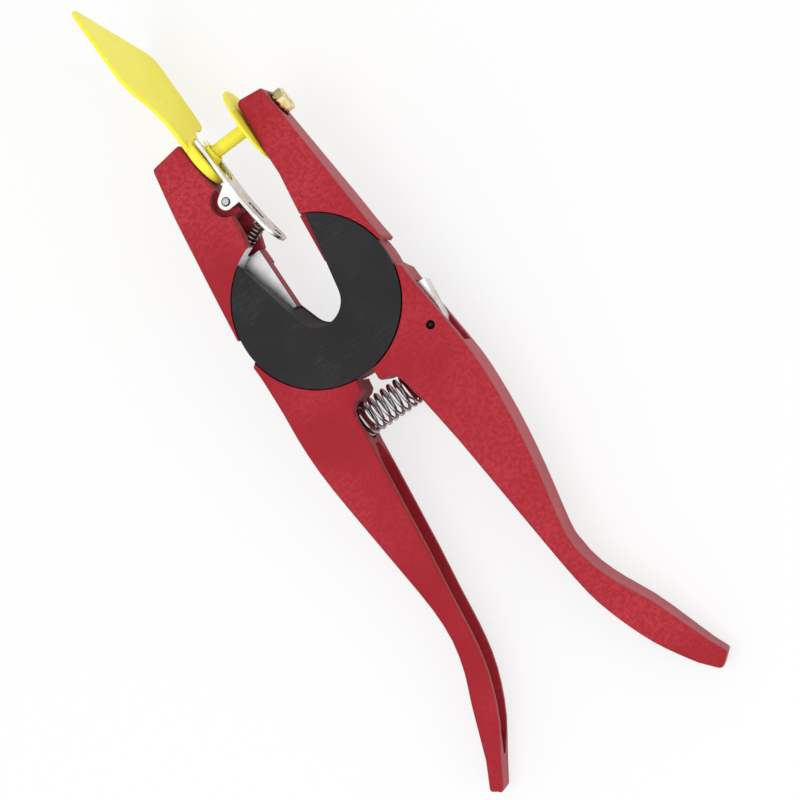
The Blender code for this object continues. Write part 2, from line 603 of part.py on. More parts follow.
def pin_nut():
    """The plated hexagon nut, chamfered outside."""
    x = WASHER_SEAT_X + GAP + WASHER_T + GAP / 2
    across = NUT_FLATS / 2 / math.cos(math.pi / 6)
    nut = lathe("pin_nut", [(x, across), (x + NUT_T, across)], (0, PIN_Y, 0), "X", 6)
    chamfer = lathe("chamfer", [(x - 1, across + 1), (x + NUT_T - 0.7, across + 0.05),
                                (x + NUT_T + 0.3, across - 1.1)], (0, PIN_Y, 0), "X", 36)
    boolean(nut, chamfer, "INTERSECT")
    return cut(nut, bore("hole", STUD_R + GAP, (0, PIN_Y, 0), 60, 24))


def lever():
    """The stamped lock lever: two cheeks joined by the outer web."""
    top, heel, brow, toe, bend = with_hub([(34.3, -14.6), (31.5, -14.3), (28.3, -22.5),
                                           (31.6, -31.2), (32.7, -28.4)])
    outline = [top, heel, brow] + arc(LEVER_EYE_R, 150, 300, 8, LEVER_PIN) + [toe, bend]
    body = prism("lock_lever", outline, -LEVER_HALF, LEVER_HALF)
    floor, deep = LEVER_PIN[1] - 11, LEVER_PIN[0] - 8
    inside = [(top[0] - LEVER_SHEET - 0.1, heel[1] + 4), (deep, heel[1] + 4), (deep, floor),
              (LEVER_PIN[0] + 0.8, floor), (toe[0] - LEVER_SHEET, toe[1] - 0.4),
              (bend[0] - LEVER_SHEET, bend[1])]
    web = LEVER_HALF - LEVER_SHEET
    return cut(body, prism("inside", inside, -web, web),
               disc("hole", LEVER_PIN_R + GAP, -20, 20, LEVER_PIN, 20))


def lever_pin():
    end = half_thickness(LEVER_PIN[1]) - GAP
    return lathe("lever_pin", [(-end, 1.0), (-end + 0.4, LEVER_PIN_R), (end - 0.4, LEVER_PIN_R),
                               (end, 1.0)], (*LEVER_PIN, 0), "Z", 24)


def stand_on_back(objects, groups):
    """The turn and shift that set the object down on three groups of low points."""
    graph = bpy.context.evaluated_depsgraph_get()
    graph.update()
    clouds = [np.array([o.matrix_world @ v.co for o, test in group for v in o.data.vertices
                        if test(v.co)]) for group in groups]
    normal = np.array([0.0, 0.0, 1.0])
    for _ in range(12):
        feet = [cloud[np.argmin(cloud @ normal)] for cloud in clouds]
        normal = np.cross(feet[1] - feet[0], feet[2] - feet[0])
        normal = normal / np.linalg.norm(normal) * (1 if normal[2] > 0 else -1)
    turn = Vector(normal).rotation_difference(Vector((0, 0, 1))).to_matrix().to_4x4()
    points = [turn @ o.matrix_world @ v.co for o in objects for v in o.data.vertices]
    lows = [min(p[i] for p in points) for i in range(3)]
    highs = [max(p[i] for p in points) for i in range(3)]
    shift = Vector((-(lows[0] + highs[0]) / 2, -(lows[1] + highs[1]) / 2, -lows[2]))
    return Matrix.Translation(shift) @ turn


def tidy(obj):
    """Merges the hair-thin faces that a Boolean leaves."""
    bm = bmesh.new()
    bm.from_mesh(obj.data)
    bmesh.ops.triangulate(bm, faces=bm.faces)
    bmesh.ops.remove_doubles(bm, verts=bm.verts, dist=WELD * MM)
    bmesh.ops.dissolve_degenerate(bm, edges=bm.edges, dist=WELD * MM)
    bmesh.ops.triangulate(bm, faces=bm.faces)
    bm.to_mesh(obj.data)
    bm.free()


def dress(obj, look):
    colour, metallic, roughness = COLOURS[look]
    material = bpy.data.materials.new(obj.name)
    material.use_nodes = True
    shader = material.node_tree.nodes["Principled BSDF"]
    shader.inputs["Base Color"].default_value = (*colour, 1)
    shader.inputs["Metallic"].default_value = metallic
    shader.inputs["Roughness"].default_value = roughness
    obj.data.materials.clear()
    obj.data.materials.append(material)
    obj.data.shade_smooth()
    obj.data.set_sharp_from_angle(angle=math.radians(32))


def set_origin(obj, point):
    obj.data.transform(Matrix.Translation(-Vector(point) * MM))
    obj.location = Vector(point) * MM


def main():
    clear_scene()
    left, right = SPRING_LEFT_X, SPRING_RIGHT_X
    channel_floor, tail_x = -13.4 + GAP, -2.9
    parts = [
        (clip_arm(), "red"), (pin_arm(), "red"), (front_cover(), "black"), (rear_cover(), "black"),
        (clip(), "steel"), (clip_pin(), "steel"), (female_tag(), "yellow"),
        (male_button(), "yellow"), (stem_point(), "steel"), (tag_pin(), "steel"),
        (pin_washer(), "dark_steel"),
        (pin_nut(), "brass"), (lever(), "steel"), (lever_pin(), "black"),
        (coil("return_spring", SPRING_R, SPRING_WIRE, SPRING_TURNS, right - left,
              (left, SPRING_AT, 0), (1, 0, 0)), "steel"),
        (coil("clip_spring", CLIP_SPRING_R, CLIP_SPRING_WIRE, 5.0, tail_x - channel_floor,
              (channel_floor, 32.2, 0), (1, 0.1, 0), sides=6, per_turn=14), "dark_steel"),
        (coil("lever_spring", LEVER_SPRING_R, LEVER_SPRING_WIRE, 4.0, 4.4,
              (*LEVER_PIN, -2.2), (0, 0, 1), sides=6, per_turn=14), "dark_steel"),
    ]
    parts += [(hub_screw(i + 1, a), "steel") for i, a in enumerate(SCREW_ANGLES)]
    for obj, look in parts:
        tidy(obj)
        dress(obj, look)
    by_name = {obj.name: obj for obj, _ in parts}
    low_grip = lambda p: p.y < -0.12
    place = stand_on_back(list(by_name.values()), [
        [(by_name["female_tag"], lambda p: True)], [(by_name["clip_arm"], low_grip)],
        [(by_name["pin_arm"], low_grip)]])
    set_origin(by_name["clip"], (*CLIP_PIN, 0))
    set_origin(by_name["lock_lever"], (*LEVER_PIN, 0))
    frame = bpy.data.objects.new("applicator", None)
    bpy.context.scene.collection.objects.link(frame)
    frame.matrix_world = place
    for obj in by_name.values():
        obj.parent = frame
    bpy.context.view_layer.update()


if __name__ == "__main__":
    main()
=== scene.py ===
"""Looks of an ear tag applicator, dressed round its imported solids.

Sizes are in millimetres in the tool's own plane, with +X towards the pin arm's jaw, +Y towards the
jaws and +Z to the front. ToolPlane turns them into metres in the frame that the solids share.
"""

from __future__ import annotations

import json
import logging
import math
from collections.abc import Callable, Sequence
from dataclasses import dataclass
from enum import Enum

import bmesh
import bpy
import numpy as np
from mathutils import Matrix, Vector

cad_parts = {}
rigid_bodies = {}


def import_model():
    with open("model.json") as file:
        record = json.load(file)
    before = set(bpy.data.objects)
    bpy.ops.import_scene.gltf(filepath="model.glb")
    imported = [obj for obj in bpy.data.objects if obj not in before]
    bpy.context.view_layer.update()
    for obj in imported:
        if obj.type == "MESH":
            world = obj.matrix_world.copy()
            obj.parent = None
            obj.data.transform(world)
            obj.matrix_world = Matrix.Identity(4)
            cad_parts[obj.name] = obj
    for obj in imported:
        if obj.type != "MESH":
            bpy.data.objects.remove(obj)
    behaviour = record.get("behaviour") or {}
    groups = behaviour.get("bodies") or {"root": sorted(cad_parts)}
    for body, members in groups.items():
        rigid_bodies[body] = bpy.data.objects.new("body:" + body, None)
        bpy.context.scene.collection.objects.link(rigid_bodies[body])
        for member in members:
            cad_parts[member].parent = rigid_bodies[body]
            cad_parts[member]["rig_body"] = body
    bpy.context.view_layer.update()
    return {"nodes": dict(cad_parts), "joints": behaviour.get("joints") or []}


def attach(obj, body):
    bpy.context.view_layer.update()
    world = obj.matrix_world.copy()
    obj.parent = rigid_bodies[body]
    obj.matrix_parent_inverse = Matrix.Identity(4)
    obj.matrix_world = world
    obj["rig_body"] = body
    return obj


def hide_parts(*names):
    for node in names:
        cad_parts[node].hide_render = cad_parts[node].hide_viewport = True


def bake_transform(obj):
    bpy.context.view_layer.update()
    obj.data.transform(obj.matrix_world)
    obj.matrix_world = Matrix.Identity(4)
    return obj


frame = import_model()
LOG = logging.getLogger("applicator")
MM = 0.001  # A millimetre in metres.
Socket = bpy.types.NodeSocket
Pair = tuple[float, float]
Triple = tuple[float, float, float]
Colour = Triple
Inputs = dict[str | int, object]
EFFECT_SAMPLES = 6  # Rays that the edge and painted corner shade effects trace at each point.
SCRATCH = 0.012  # How near its middle a noise has to be to draw a scratch.


@dataclass(frozen=True)
class ToolPlane:
    """The tool's own plane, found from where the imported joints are.

    Attributes:
        clip_pivot: Where the clip's pivot is in the tool's plane.
    """

    clip_pivot: Pair = (-7.3, 46.7)

    def matrix(self) -> np.ndarray:
        """The 4x4 matrix from the tool's plane, in millimetres, to the shared frame, in metres."""
        joints = {joint["name"]: joint for joint in frame["joints"]}
        hub = np.array(joints["handle_pivot"]["pos_m"], float)
        up = np.array(joints["handle_pivot"]["axis"], float)
        up /= np.linalg.norm(up)
        reach = np.array(joints["clip_pivot"]["pos_m"], float) - hub
        reach -= up * (reach @ up)
        reach /= np.linalg.norm(reach)
        angle = math.atan2(self.clip_pivot[1], self.clip_pivot[0])
        side = reach * math.cos(angle) - np.cross(up, reach) * math.sin(angle)
        placed = np.eye(4)
        placed[:3, 0], placed[:3, 1], placed[:3, 2] = side * MM, np.cross(up, side) * MM, up * MM
        placed[:3, 3] = hub
        return placed

    def to_frame(self, points: np.ndarray) -> np.ndarray:
        """Turns (n, 3) points of the tool's plane, in millimetres, into metres of the frame."""
        placed = self.matrix()
        return np.asarray(points, float) @ placed[:3, :3].T + placed[:3, 3]

    def from_frame(self, points: np.ndarray) -> np.ndarray:
        """Turns (n, 3) points of the frame, in metres, into millimetres of the tool's plane."""
        placed = self.matrix()
        return (np.asarray(points, float) - placed[:3, 3]) @ np.linalg.inv(placed[:3, :3]).T


PLANE = ToolPlane()


class Effect(Enum):
    """The node groups that several materials share."""

    EDGE = "soft_edge"
    GRAIN = "fine_grain"
    SCUFF = "light_scuffs"
    # Painted shade in corners, from ambient occlusion.
    OCCLUSION_SHADE = "painted_corner_shade"


class Nodes:
    """Short ways to place and join shader nodes in one tree."""

    def __init__(self, tree: bpy.types.NodeTree) -> None:
        """Keeps the tree that nodes go into."""
        self.tree = tree

    def feed(self, node: bpy.types.Node, inputs: Inputs) -> None:
        """Joins a socket, or sets a plain value, at each named or numbered input of a node."""
        for key, value in inputs.items():
            if isinstance(value, Socket):
                self.tree.links.new(value, node.inputs[key])
            else:
                node.inputs[key].default_value = value

    def add(self, kind: str, inputs: Inputs | None = None, **settings: object) -> bpy.types.Node:
        """Places a node.

        Args:
            kind: The node's type.
            inputs: A value or a socket for each input, by name or number.
            **settings: The node's own properties.

        Returns:
            The new node.
        """
        node = self.tree.nodes.new(kind)
        for name, value in settings.items():
            setattr(node, name, value)
        self.feed(node, inputs or {})
        return node

    def maths(self, operation: str, *values: float | Socket, clamp: bool = False) -> Socket:
        """The result of one Math node over values or sockets."""
        return self.add("ShaderNodeMath", dict(enumerate(values)), operation=operation,
                        use_clamp=clamp).outputs[0]

    def times(self, *values: float | Socket) -> Socket:
        """The product of two values."""
        return self.maths("MULTIPLY", *values)

    def plus(self, value: float | Socket, more: Socket, share: float | Socket) -> Socket:
        """A value with a share of another one added."""
        return self.maths("ADD", value, self.times(more, share))

    def spread(self, value: Socket, low: float, high: float, to_low: float = 0.0,
               to_high: float = 1.0) -> Socket:
        """Maps a value from low..high to to_low..to_high, smoothly and clamped."""
        return self.add("ShaderNodeMapRange", {"Value": value, "From Min": low, "From Max": high,
                                               "To Min": to_low, "To Max": to_high},
                        interpolation_type="SMOOTHSTEP").outputs["Result"]

    def blend(self, share: float | Socket, first: Colour | Socket,
              second: Colour | Socket) -> Socket:
        """Mixes two colours by a share."""
        pair = [value if isinstance(value, Socket) else (*value, 1.0) for value in (first, second)]
        return self.add("ShaderNodeMix", {0: share, 6: pair[0], 7: pair[1]},
                        data_type="RGBA").outputs[2]

    def place(self) -> Socket:
        """Object coordinates."""
        return self.add("ShaderNodeTexCoord").outputs["Object"]

    def tool_place(self) -> Socket:
        """Object coordinates turned into the tool's own plane, in metres."""
        placed = PLANE.matrix()
        turn = Matrix((placed[:3, :3] / MM).T.tolist())
        shift = -(turn @ Vector(placed[:3, 3]))
        return self.add("ShaderNodeMapping", {"Vector": self.place(), "Location": shift,
                                              "Rotation": turn.to_euler()}).outputs[0]

    def noise(self, where: Socket, scale: float | Socket, detail: float = 2.0) -> Socket:
        """The value of a noise texture at a place."""
        return self.add("ShaderNodeTexNoise", {"Vector": where, "Scale": scale,
                                               "Detail": detail}).outputs["Fac"]

    def group(self, effect: Effect, **values: float) -> bpy.types.bpy_prop_collection:
        """The outputs of one of the shared effects, placed with its own values."""
        inputs = {name.replace("_", " ").capitalize(): value for name, value in values.items()}
        return self.add("ShaderNodeGroup", inputs, node_tree=shared_effect(effect)).outputs


def shared_effect(effect: Effect) -> bpy.types.NodeTree:
    """The node group of an effect, built the first time it is asked for."""
    known = bpy.data.node_groups.get(effect.value)
    if known is None:
        known = bpy.data.node_groups.new(effect.value, "ShaderNodeTree")
        EFFECTS[effect](Nodes(known))
    return known


def group_ends(nodes: Nodes, takes: dict[str, float],
               gives: dict[str, str]) -> tuple[dict[str, Socket], bpy.types.Node]:
    """Makes the named sockets of a group.

    Args:
        nodes: The group's node helper.
        takes: Each input's name and usual value.
        gives: Each output's name and the kind of its socket.

    Returns:
        The inputs by name, and the output node.
    """
    sockets = nodes.tree.interface
    for name, usual in takes.items():
        sockets.new_socket(name, in_out="INPUT", socket_type="NodeSocketFloat").default_value = usual
    for name, kind in gives.items():
        sockets.new_socket(name, in_out="OUTPUT", socket_type="NodeSocket" + kind)
    start = nodes.add("NodeGroupInput")
    return {name: start.outputs[name] for name in takes}, nodes.add("NodeGroupOutput")


def soft_edge_effect(nodes: Nodes) -> None:
    """Rounds the light on edges, and marks them where the rounded and true normals part."""
    takes, end = group_ends(nodes, {"Radius": 0.0004}, {"Normal": "Vector", "Edge": "Float"})
    rounded = nodes.add("ShaderNodeBevel", {"Radius": takes["Radius"]}, samples=EFFECT_SAMPLES)
    true = nodes.add("ShaderNodeNewGeometry")
    likeness = nodes.add("ShaderNodeVectorMath", {0: rounded.outputs[0], 1: true.outputs["Normal"]},
                         operation="DOT_PRODUCT")
    nodes.feed(end, {"Normal": rounded.outputs[0],
                     "Edge": nodes.spread(likeness.outputs["Value"], 0.99, 0.80)})


def fine_grain_effect(nodes: Nodes) -> None:
    """Two noises, of one grain and of about three grains across, added by a share."""
    takes, end = group_ends(nodes, {"Grain": 0.0004, "Broad share": 0.4}, {"Height": "Float"})
    where = nodes.place()
    scale = nodes.maths("DIVIDE", 1.0, takes["Grain"])
    fine = nodes.noise(where, scale)
    broad = nodes.noise(where, nodes.maths("DIVIDE", scale, 3.3), 1.0)
    kept = nodes.maths("SUBTRACT", 1.0, takes["Broad share"])
    nodes.feed(end, {"Height": nodes.plus(nodes.times(fine, kept), broad, takes["Broad share"])})


def light_scuffs_effect(nodes: Nodes) -> None:
    """Fine scratches: thin lines of stretched noise, kept in patches by a slower one."""
    takes, end = group_ends(nodes, {"Size": 0.02, "Amount": 0.4}, {"Mask": "Float"})
    where = nodes.place()
    scale = nodes.maths("DIVIDE", 1.0, takes["Size"])
    lines = []
    for turn in (0.4, 1.7, 2.6):
        turned = nodes.add("ShaderNodeMapping", {"Vector": where, "Rotation": (0.3, 0.2, turn),
                                                 "Scale": (1.0, 22.0, 22.0)})
        streak = nodes.noise(turned.outputs[0], scale, 1.0)
        off = nodes.maths("ABSOLUTE", nodes.maths("SUBTRACT", streak, 0.5))
        lines.append(nodes.spread(off, SCRATCH, 0.0))
    marks = nodes.maths("MAXIMUM", lines[0], nodes.maths("MAXIMUM", lines[1], lines[2]))
    kept = nodes.times(marks, nodes.spread(nodes.noise(where, scale), 0.45, 0.65))
    nodes.feed(end, {"Mask": nodes.times(kept, takes["Amount"])})


def painted_corner_shade_effect(nodes: Nodes) -> None:
    """Painted shade in corners: darkness from ambient occlusion, broken up by noise."""
    takes, end = group_ends(nodes, {"Reach": 0.003, "Amount": 0.5}, {"Mask": "Float"})
    hidden = nodes.add("ShaderNodeAmbientOcclusion", {"Distance": takes["Reach"]},
                       samples=EFFECT_SAMPLES)
    shut = nodes.maths("SUBTRACT", 1.0, nodes.spread(hidden.outputs["AO"], 0.35, 0.95))
    uneven = nodes.plus(0.6, nodes.noise(nodes.place(), 900.0), 0.8)
    mask = nodes.maths("MULTIPLY", shut, uneven, clamp=True)
    nodes.feed(end, {"Mask": nodes.times(mask, takes["Amount"])})


EFFECTS: dict[Effect, Callable[[Nodes], None]] = {
    Effect.EDGE: soft_edge_effect, Effect.GRAIN: fine_grain_effect,
    Effect.SCUFF: light_scuffs_effect, Effect.OCCLUSION_SHADE: painted_corner_shade_effect}


class Finish:
    """What every finish has: a name, a material made once, and its Principled shader.

    In each kind of finish `colour` is the plain colour, and `roughness` the shader's roughness
    before grain or scuffs add to it.

    Attributes:
        name: The material's name.
    """

    name: str

    def material(self) -> bpy.types.Material:
        """The finish as a material, made the first time it is asked for."""
        known = bpy.data.materials.get(self.name)
        if known is None:
            known = bpy.data.materials.new(self.name)
            known.use_nodes = True
            self.dress(Nodes(known.node_tree), known.node_tree.nodes["Principled BSDF"])
        return known

    def dress(self, nodes: Nodes, shader: bpy.types.Node) -> None:
        """Joins the finish's own nodes to the shader."""
        raise NotImplementedError


def relief(nodes: Nodes, height: Socket, depth: float, normal: Socket | None = None) -> Socket:
    """The normal of a height, `depth` metres deep, over another normal where one is given."""
    over = {} if normal is None else {"Normal": normal}
    return nodes.add("ShaderNodeBump", {"Height": height, "Strength": 1.0, "Distance": depth,
                                        **over}).outputs[0]


@dataclass(frozen=True)
class PowderCoat(Finish):
    """Fine-grained satin powder coat on a casting, with a painted highlight on the edges and painted
    shade in corners.

    Attributes:
        deep: Its colour in the slow drifts and between the flecks.
        edge: Its colour for the painted highlight on edges, and on scuffs.
        corner: Its colour for the painted shade in corners.
        grain: Size of the grain, in metres.
    """

    name: str = "red_powder_coat"
    colour: Colour = (0.475, 0.037, 0.053)
    deep: Colour = (0.325, 0.012, 0.021)
    edge: Colour = (0.58, 0.075, 0.09)
    corner: Colour = (0.12, 0.004, 0.007)
    roughness: float = 0.42
    grain: float = 0.00042

    def dress(self, nodes: Nodes, shader: bpy.types.Node) -> None:
        """Grain moves the colour, roughness and height together; edges are painted paler as a
        highlight.
        """
        soft = nodes.group(Effect.EDGE, radius=0.00045)
        grain = nodes.group(Effect.GRAIN, grain=self.grain, broad_share=0.55)[0]
        drift = nodes.spread(nodes.noise(nodes.place(), 22.0, 3.0), 0.30, 0.72)
        fleck = nodes.spread(grain, 0.42, 0.60)
        base = nodes.blend(drift, self.deep, self.colour)
        base = nodes.blend(nodes.times(nodes.maths("SUBTRACT", 1.0, fleck), 0.72), base, self.deep)
        scuff = nodes.group(Effect.SCUFF, size=0.03, amount=0.16)[0]
        # Painted highlight on edges, with real scuffs: both blend towards the edge colour.
        lit_edges_and_scuffs = nodes.maths("MAXIMUM", nodes.times(soft["Edge"], 0.34), scuff)
        base = nodes.blend(lit_edges_and_scuffs, base, self.edge)
        # Painted shade: corners darken towards the corner colour by ambient occlusion.
        base = nodes.blend(nodes.group(Effect.OCCLUSION_SHADE, reach=0.004, amount=0.55)[0], base, self.corner)
        nodes.feed(shader, {"Base Color": base, "Roughness": nodes.plus(self.roughness, fleck, 0.12),
                            "Specular IOR Level": 0.14, "Sheen Weight": 0.14,
                            "Sheen Roughness": 0.45,
                            "Normal": relief(nodes, grain, 0.00011, soft["Normal"])})


@dataclass(frozen=True)
class TurnedAluminium(Finish):
    """Bare aluminium faced in a lathe: rings round the hub's centre.

    Attributes:
        stain: Its colour in stains.
        corner: Its colour for the painted shade in corners.
        pitch: Width of the rings, in metres.
    """

    name: str = "turned_aluminium"
    colour: Colour = (0.90, 0.90, 0.905)
    stain: Colour = (0.76, 0.76, 0.765)
    corner: Colour = (0.05, 0.045, 0.045)
    pitch: float = 0.00016

    def dress(self, nodes: Nodes, shader: bpy.types.Node) -> None:
        """Height is noise of the distance from the hub's axis alone, so it runs in rings."""
        flat = nodes.add("ShaderNodeVectorMath", {0: nodes.tool_place(), 1: (1.0, 1.0, 0.0)},
                         operation="MULTIPLY")
        radius = nodes.add("ShaderNodeVectorMath", {0: flat.outputs[0]}, operation="LENGTH")
        rings = nodes.add("ShaderNodeTexNoise", {"W": radius.outputs["Value"],
                                                 "Scale": 1.0 / self.pitch, "Detail": 1.0},
                          noise_dimensions="1D").outputs["Fac"]
        stain = nodes.spread(nodes.noise(nodes.place(), 160.0, 3.0), 0.35, 0.7)
        # Painted shade: corners darken towards the corner colour by ambient occlusion.
        corner_shade = nodes.group(Effect.OCCLUSION_SHADE, reach=0.003, amount=0.75)[0]
        base = nodes.blend(corner_shade, nodes.blend(stain, self.stain, self.colour), self.corner)
        nodes.feed(shader, {"Metallic": 1.0, "Base Color": base,
                            "Roughness": nodes.plus(0.27, rings, 0.2),
                            "Normal": relief(nodes, rings, 0.00002)})


@dataclass(frozen=True)
class MouldedBlack(Finish):
    """Black moulded plastic with a spark-eroded satin face.

    Attributes:
        pale: Its colour where it is rubbed.
        lit_edge_and_scratch: Its colour for the painted highlight on edges, and on scuffs.
        grain: Size of the spark-eroded grain, in metres.
    """

    name: str = "black_moulding"
    colour: Colour = (0.012, 0.012, 0.0135)
    pale: Colour = (0.018, 0.018, 0.0195)
    lit_edge_and_scratch: Colour = (0.09, 0.09, 0.095)
    roughness: float = 0.46
    grain: float = 0.00026

    def dress(self, nodes: Nodes, shader: bpy.types.Node) -> None:
        """A fine even grain, with slow paler drifts where hands have polished it."""
        soft = nodes.group(Effect.EDGE, radius=0.0003)
        grain = nodes.group(Effect.GRAIN, grain=self.grain, broad_share=0.25)[0]
        drift = nodes.spread(nodes.noise(nodes.place(), 45.0, 3.0), 0.38, 0.66)
        scuff = nodes.group(Effect.SCUFF, size=0.016, amount=0.3)[0]
        # Painted highlight on edges, with real scuffs: both blend towards the pale scuff colour.
        lit_edges_and_scuffs = nodes.maths("MAXIMUM", scuff, nodes.times(soft["Edge"], 0.3))
        base = nodes.blend(nodes.times(drift, 0.5), self.colour, self.pale)
        rough = nodes.plus(nodes.plus(self.roughness, grain, 0.12), drift, -0.07)
        nodes.feed(shader, {"Base Color": nodes.blend(lit_edges_and_scuffs, base, self.lit_edge_and_scratch),
                            "Roughness": rough, "Specular IOR Level": 0.22,
                            "Normal": relief(nodes, grain, 0.00002, soft["Normal"])})


@dataclass(frozen=True)
class Metal(Finish):
    """A bare or plated metal: its own colour, a tint in patches, fine streaks and painted shade in
    corners.

    Attributes:
        tint: The colour of its patches.
        streak: Width of the streaks, in metres.
        stretch: How the streaks are drawn out along the tool's own axes.
        depth: Height of the streaks, in metres.
        radius: How far its edges are rounded, in metres.
        patch: Patches to a metre.
        corner_shade: How dark its painted shade in corners is.
    """

    name: str = "bright_steel"
    colour: Colour = (0.70, 0.70, 0.71)
    tint: Colour = (0.58, 0.58, 0.60)
    roughness: float = 0.2
    streak: float = 0.0003
    stretch: Triple = (1.0, 1.0, 1.0)
    depth: float = 0.000012
    radius: float = 0.0002
    patch: float = 300.0
    corner_shade: float = 0.6

    def dress(self, nodes: Nodes, shader: bpy.types.Node) -> None:
        """Streaks are noise stretched along the rolled or drawn way of the metal."""
        soft = nodes.group(Effect.EDGE, radius=self.radius)
        turned = nodes.add("ShaderNodeMapping", {"Vector": nodes.tool_place(),
                                                 "Scale": self.stretch}).outputs[0]
        streaks = nodes.noise(turned, 1.0 / self.streak, 3.0)
        patch = nodes.spread(nodes.noise(nodes.place(), self.patch, 3.0), 0.36, 0.68)
        # Painted shade: corners darken towards a deep copy of the tint by ambient occlusion.
        dark = nodes.group(Effect.OCCLUSION_SHADE, reach=0.0018, amount=self.corner_shade)[0]
        scuff = nodes.group(Effect.SCUFF, size=0.008, amount=0.5)[0]
        base = nodes.blend(dark, nodes.blend(patch, self.colour, self.tint),
                           tuple(0.12 * value for value in self.tint))
        rough = nodes.plus(nodes.plus(self.roughness, streaks, 0.14), scuff, 0.15)
        nodes.feed(shader, {"Metallic": 1.0, "Base Color": base, "Roughness": rough,
                            "Normal": relief(nodes, streaks, self.depth, soft["Normal"])})


@dataclass(frozen=True)
class TagPlastic(Finish):
    """Soft yellow tag plastic: waxy, with slow deeper drifts, painted shade in corners, edges painted
    paler for light through them, and a fine mould grain.

    Attributes:
        deep: Its colour in the drifts, and of the painted shade in corners.
        pale: Its colour where edges let light through.
        grain: Size of the mould's grain, in metres.
    """

    name: str = "yellow_tag_plastic"
    colour: Colour = (1.0, 0.880, 0.072)
    deep: Colour = (0.94, 0.77, 0.048)
    pale: Colour = (1.0, 0.94, 0.13)
    roughness: float = 0.38
    grain: float = 0.0005

    def dress(self, nodes: Nodes, shader: bpy.types.Node) -> None:
        """Edges let light through and are painted paler; corners get painted shade in the deeper
        colour.
        """
        soft = nodes.group(Effect.EDGE, radius=0.0005)
        grain = nodes.group(Effect.GRAIN, grain=self.grain, broad_share=0.5)[0]
        flow = nodes.spread(nodes.noise(nodes.place(), 60.0), 0.3, 0.7)
        base = nodes.blend(nodes.times(flow, 0.25), self.colour, self.deep)
        base = nodes.blend(nodes.times(soft["Edge"], 0.6), base, self.pale)
        # Painted shade: corners darken towards the deep colour by ambient occlusion.
        base = nodes.blend(nodes.group(Effect.OCCLUSION_SHADE, reach=0.004, amount=0.6)[0], base, self.deep)
        nodes.feed(shader, {"Base Color": base, "Roughness": nodes.plus(self.roughness, grain, 0.12),
                            "Specular IOR Level": 0.3, "Subsurface Weight": 0.45,
                            "Subsurface Radius": (1.0, 0.85, 0.18), "Subsurface Scale": 0.002,
                            "Normal": relief(nodes, grain, 0.00003, soft["Normal"])})


class Finishes(Enum):
    """Every finish on the tool."""

    COAT = PowderCoat()
    TURNED = TurnedAluminium()
    BLACK = MouldedBlack()
    # The sheet and the bright wire take the full painted shade in corners.
    SHEET = Metal(name="rolled_steel_sheet", colour=(0.95, 0.945, 0.935), tint=(0.74, 0.73, 0.715),
                  roughness=0.2, stretch=(1.0, 0.12, 1.0), patch=160.0, radius=0.00035, corner_shade=1.0)
    WIRE = Metal(name="bright_spring_wire", colour=(0.70, 0.71, 0.73), tint=(0.54, 0.55, 0.57),
                 roughness=0.1, streak=0.00012, depth=0.000004, corner_shade=1.0)
    DARK_WIRE = Metal(name="dark_spring_wire", colour=(0.44, 0.43, 0.42), tint=(0.22, 0.21, 0.21),
                      roughness=0.14, depth=0.000006)
    TURNED_STEEL = Metal(name="turned_steel", colour=(0.66, 0.66, 0.67), tint=(0.52, 0.52, 0.53),
                         roughness=0.18, streak=0.00014, stretch=(1.0, 0.1, 0.1))
    PLATED = Metal(name="yellow_zinc_plate", colour=(1.0, 0.86, 0.44), tint=(0.84, 0.56, 0.20),
                   roughness=0.1, streak=0.0002, patch=260.0, radius=0.0003, depth=0.000006)
    ZINC = Metal(name="bright_zinc_plate", colour=(0.68, 0.69, 0.72), tint=(0.56, 0.58, 0.62),
                 roughness=0.24, patch=700.0)
    OILED = Metal(name="dark_oiled_steel", colour=(0.10, 0.085, 0.08), tint=(0.06, 0.05, 0.05),
                  roughness=0.3)
    OXIDE = Metal(name="black_oxide_steel", colour=(0.035, 0.035, 0.037), tint=(0.02, 0.02, 0.02),
                  roughness=0.34)
    TAG = TagPlastic()

    def material(self) -> bpy.types.Material:
        """The finish's material."""
        return self.value.material()


CRUMB = 0.03  # Area in square millimetres below which a face joins no smooth group.
MERGE = 0.000001  # Distance in metres below which points count as one.
LEVEL_DEG = 0.7  # Neighbours that turn less than this become one face.


def splinter_edges(shape: bmesh.types.BMesh, slender: float,
                   angle_deg: float) -> list[bmesh.types.BMEdge]:
    """The long edges of very slender faces that lie level with, or folded onto, their neighbours.

    Args:
        shape: The mesh.
        slender: A face is a splinter below this share of its longest edge squared.
        angle_deg: How far from level or from folded flat a neighbour may be.

    Returns:
        The edges to dissolve, each once.
    """
    found = {}
    for face in shape.faces:
        longest = max(edge.calc_length() for edge in face.edges)
        if face.calc_area() < slender * longest ** 2:
            for edge in face.edges:
                turn = math.degrees(edge.calc_face_angle(math.pi / 2))
                if edge.calc_length() > 0.5 * longest and not angle_deg < turn < 180 - angle_deg:
                    found[edge] = True
    return list(found)


def place(name: str, data: bpy.types.ID) -> bpy.types.Object:
    """A new object in the scene."""
    made = bpy.data.objects.new(name, data)
    bpy.context.scene.collection.objects.link(made)
    return made


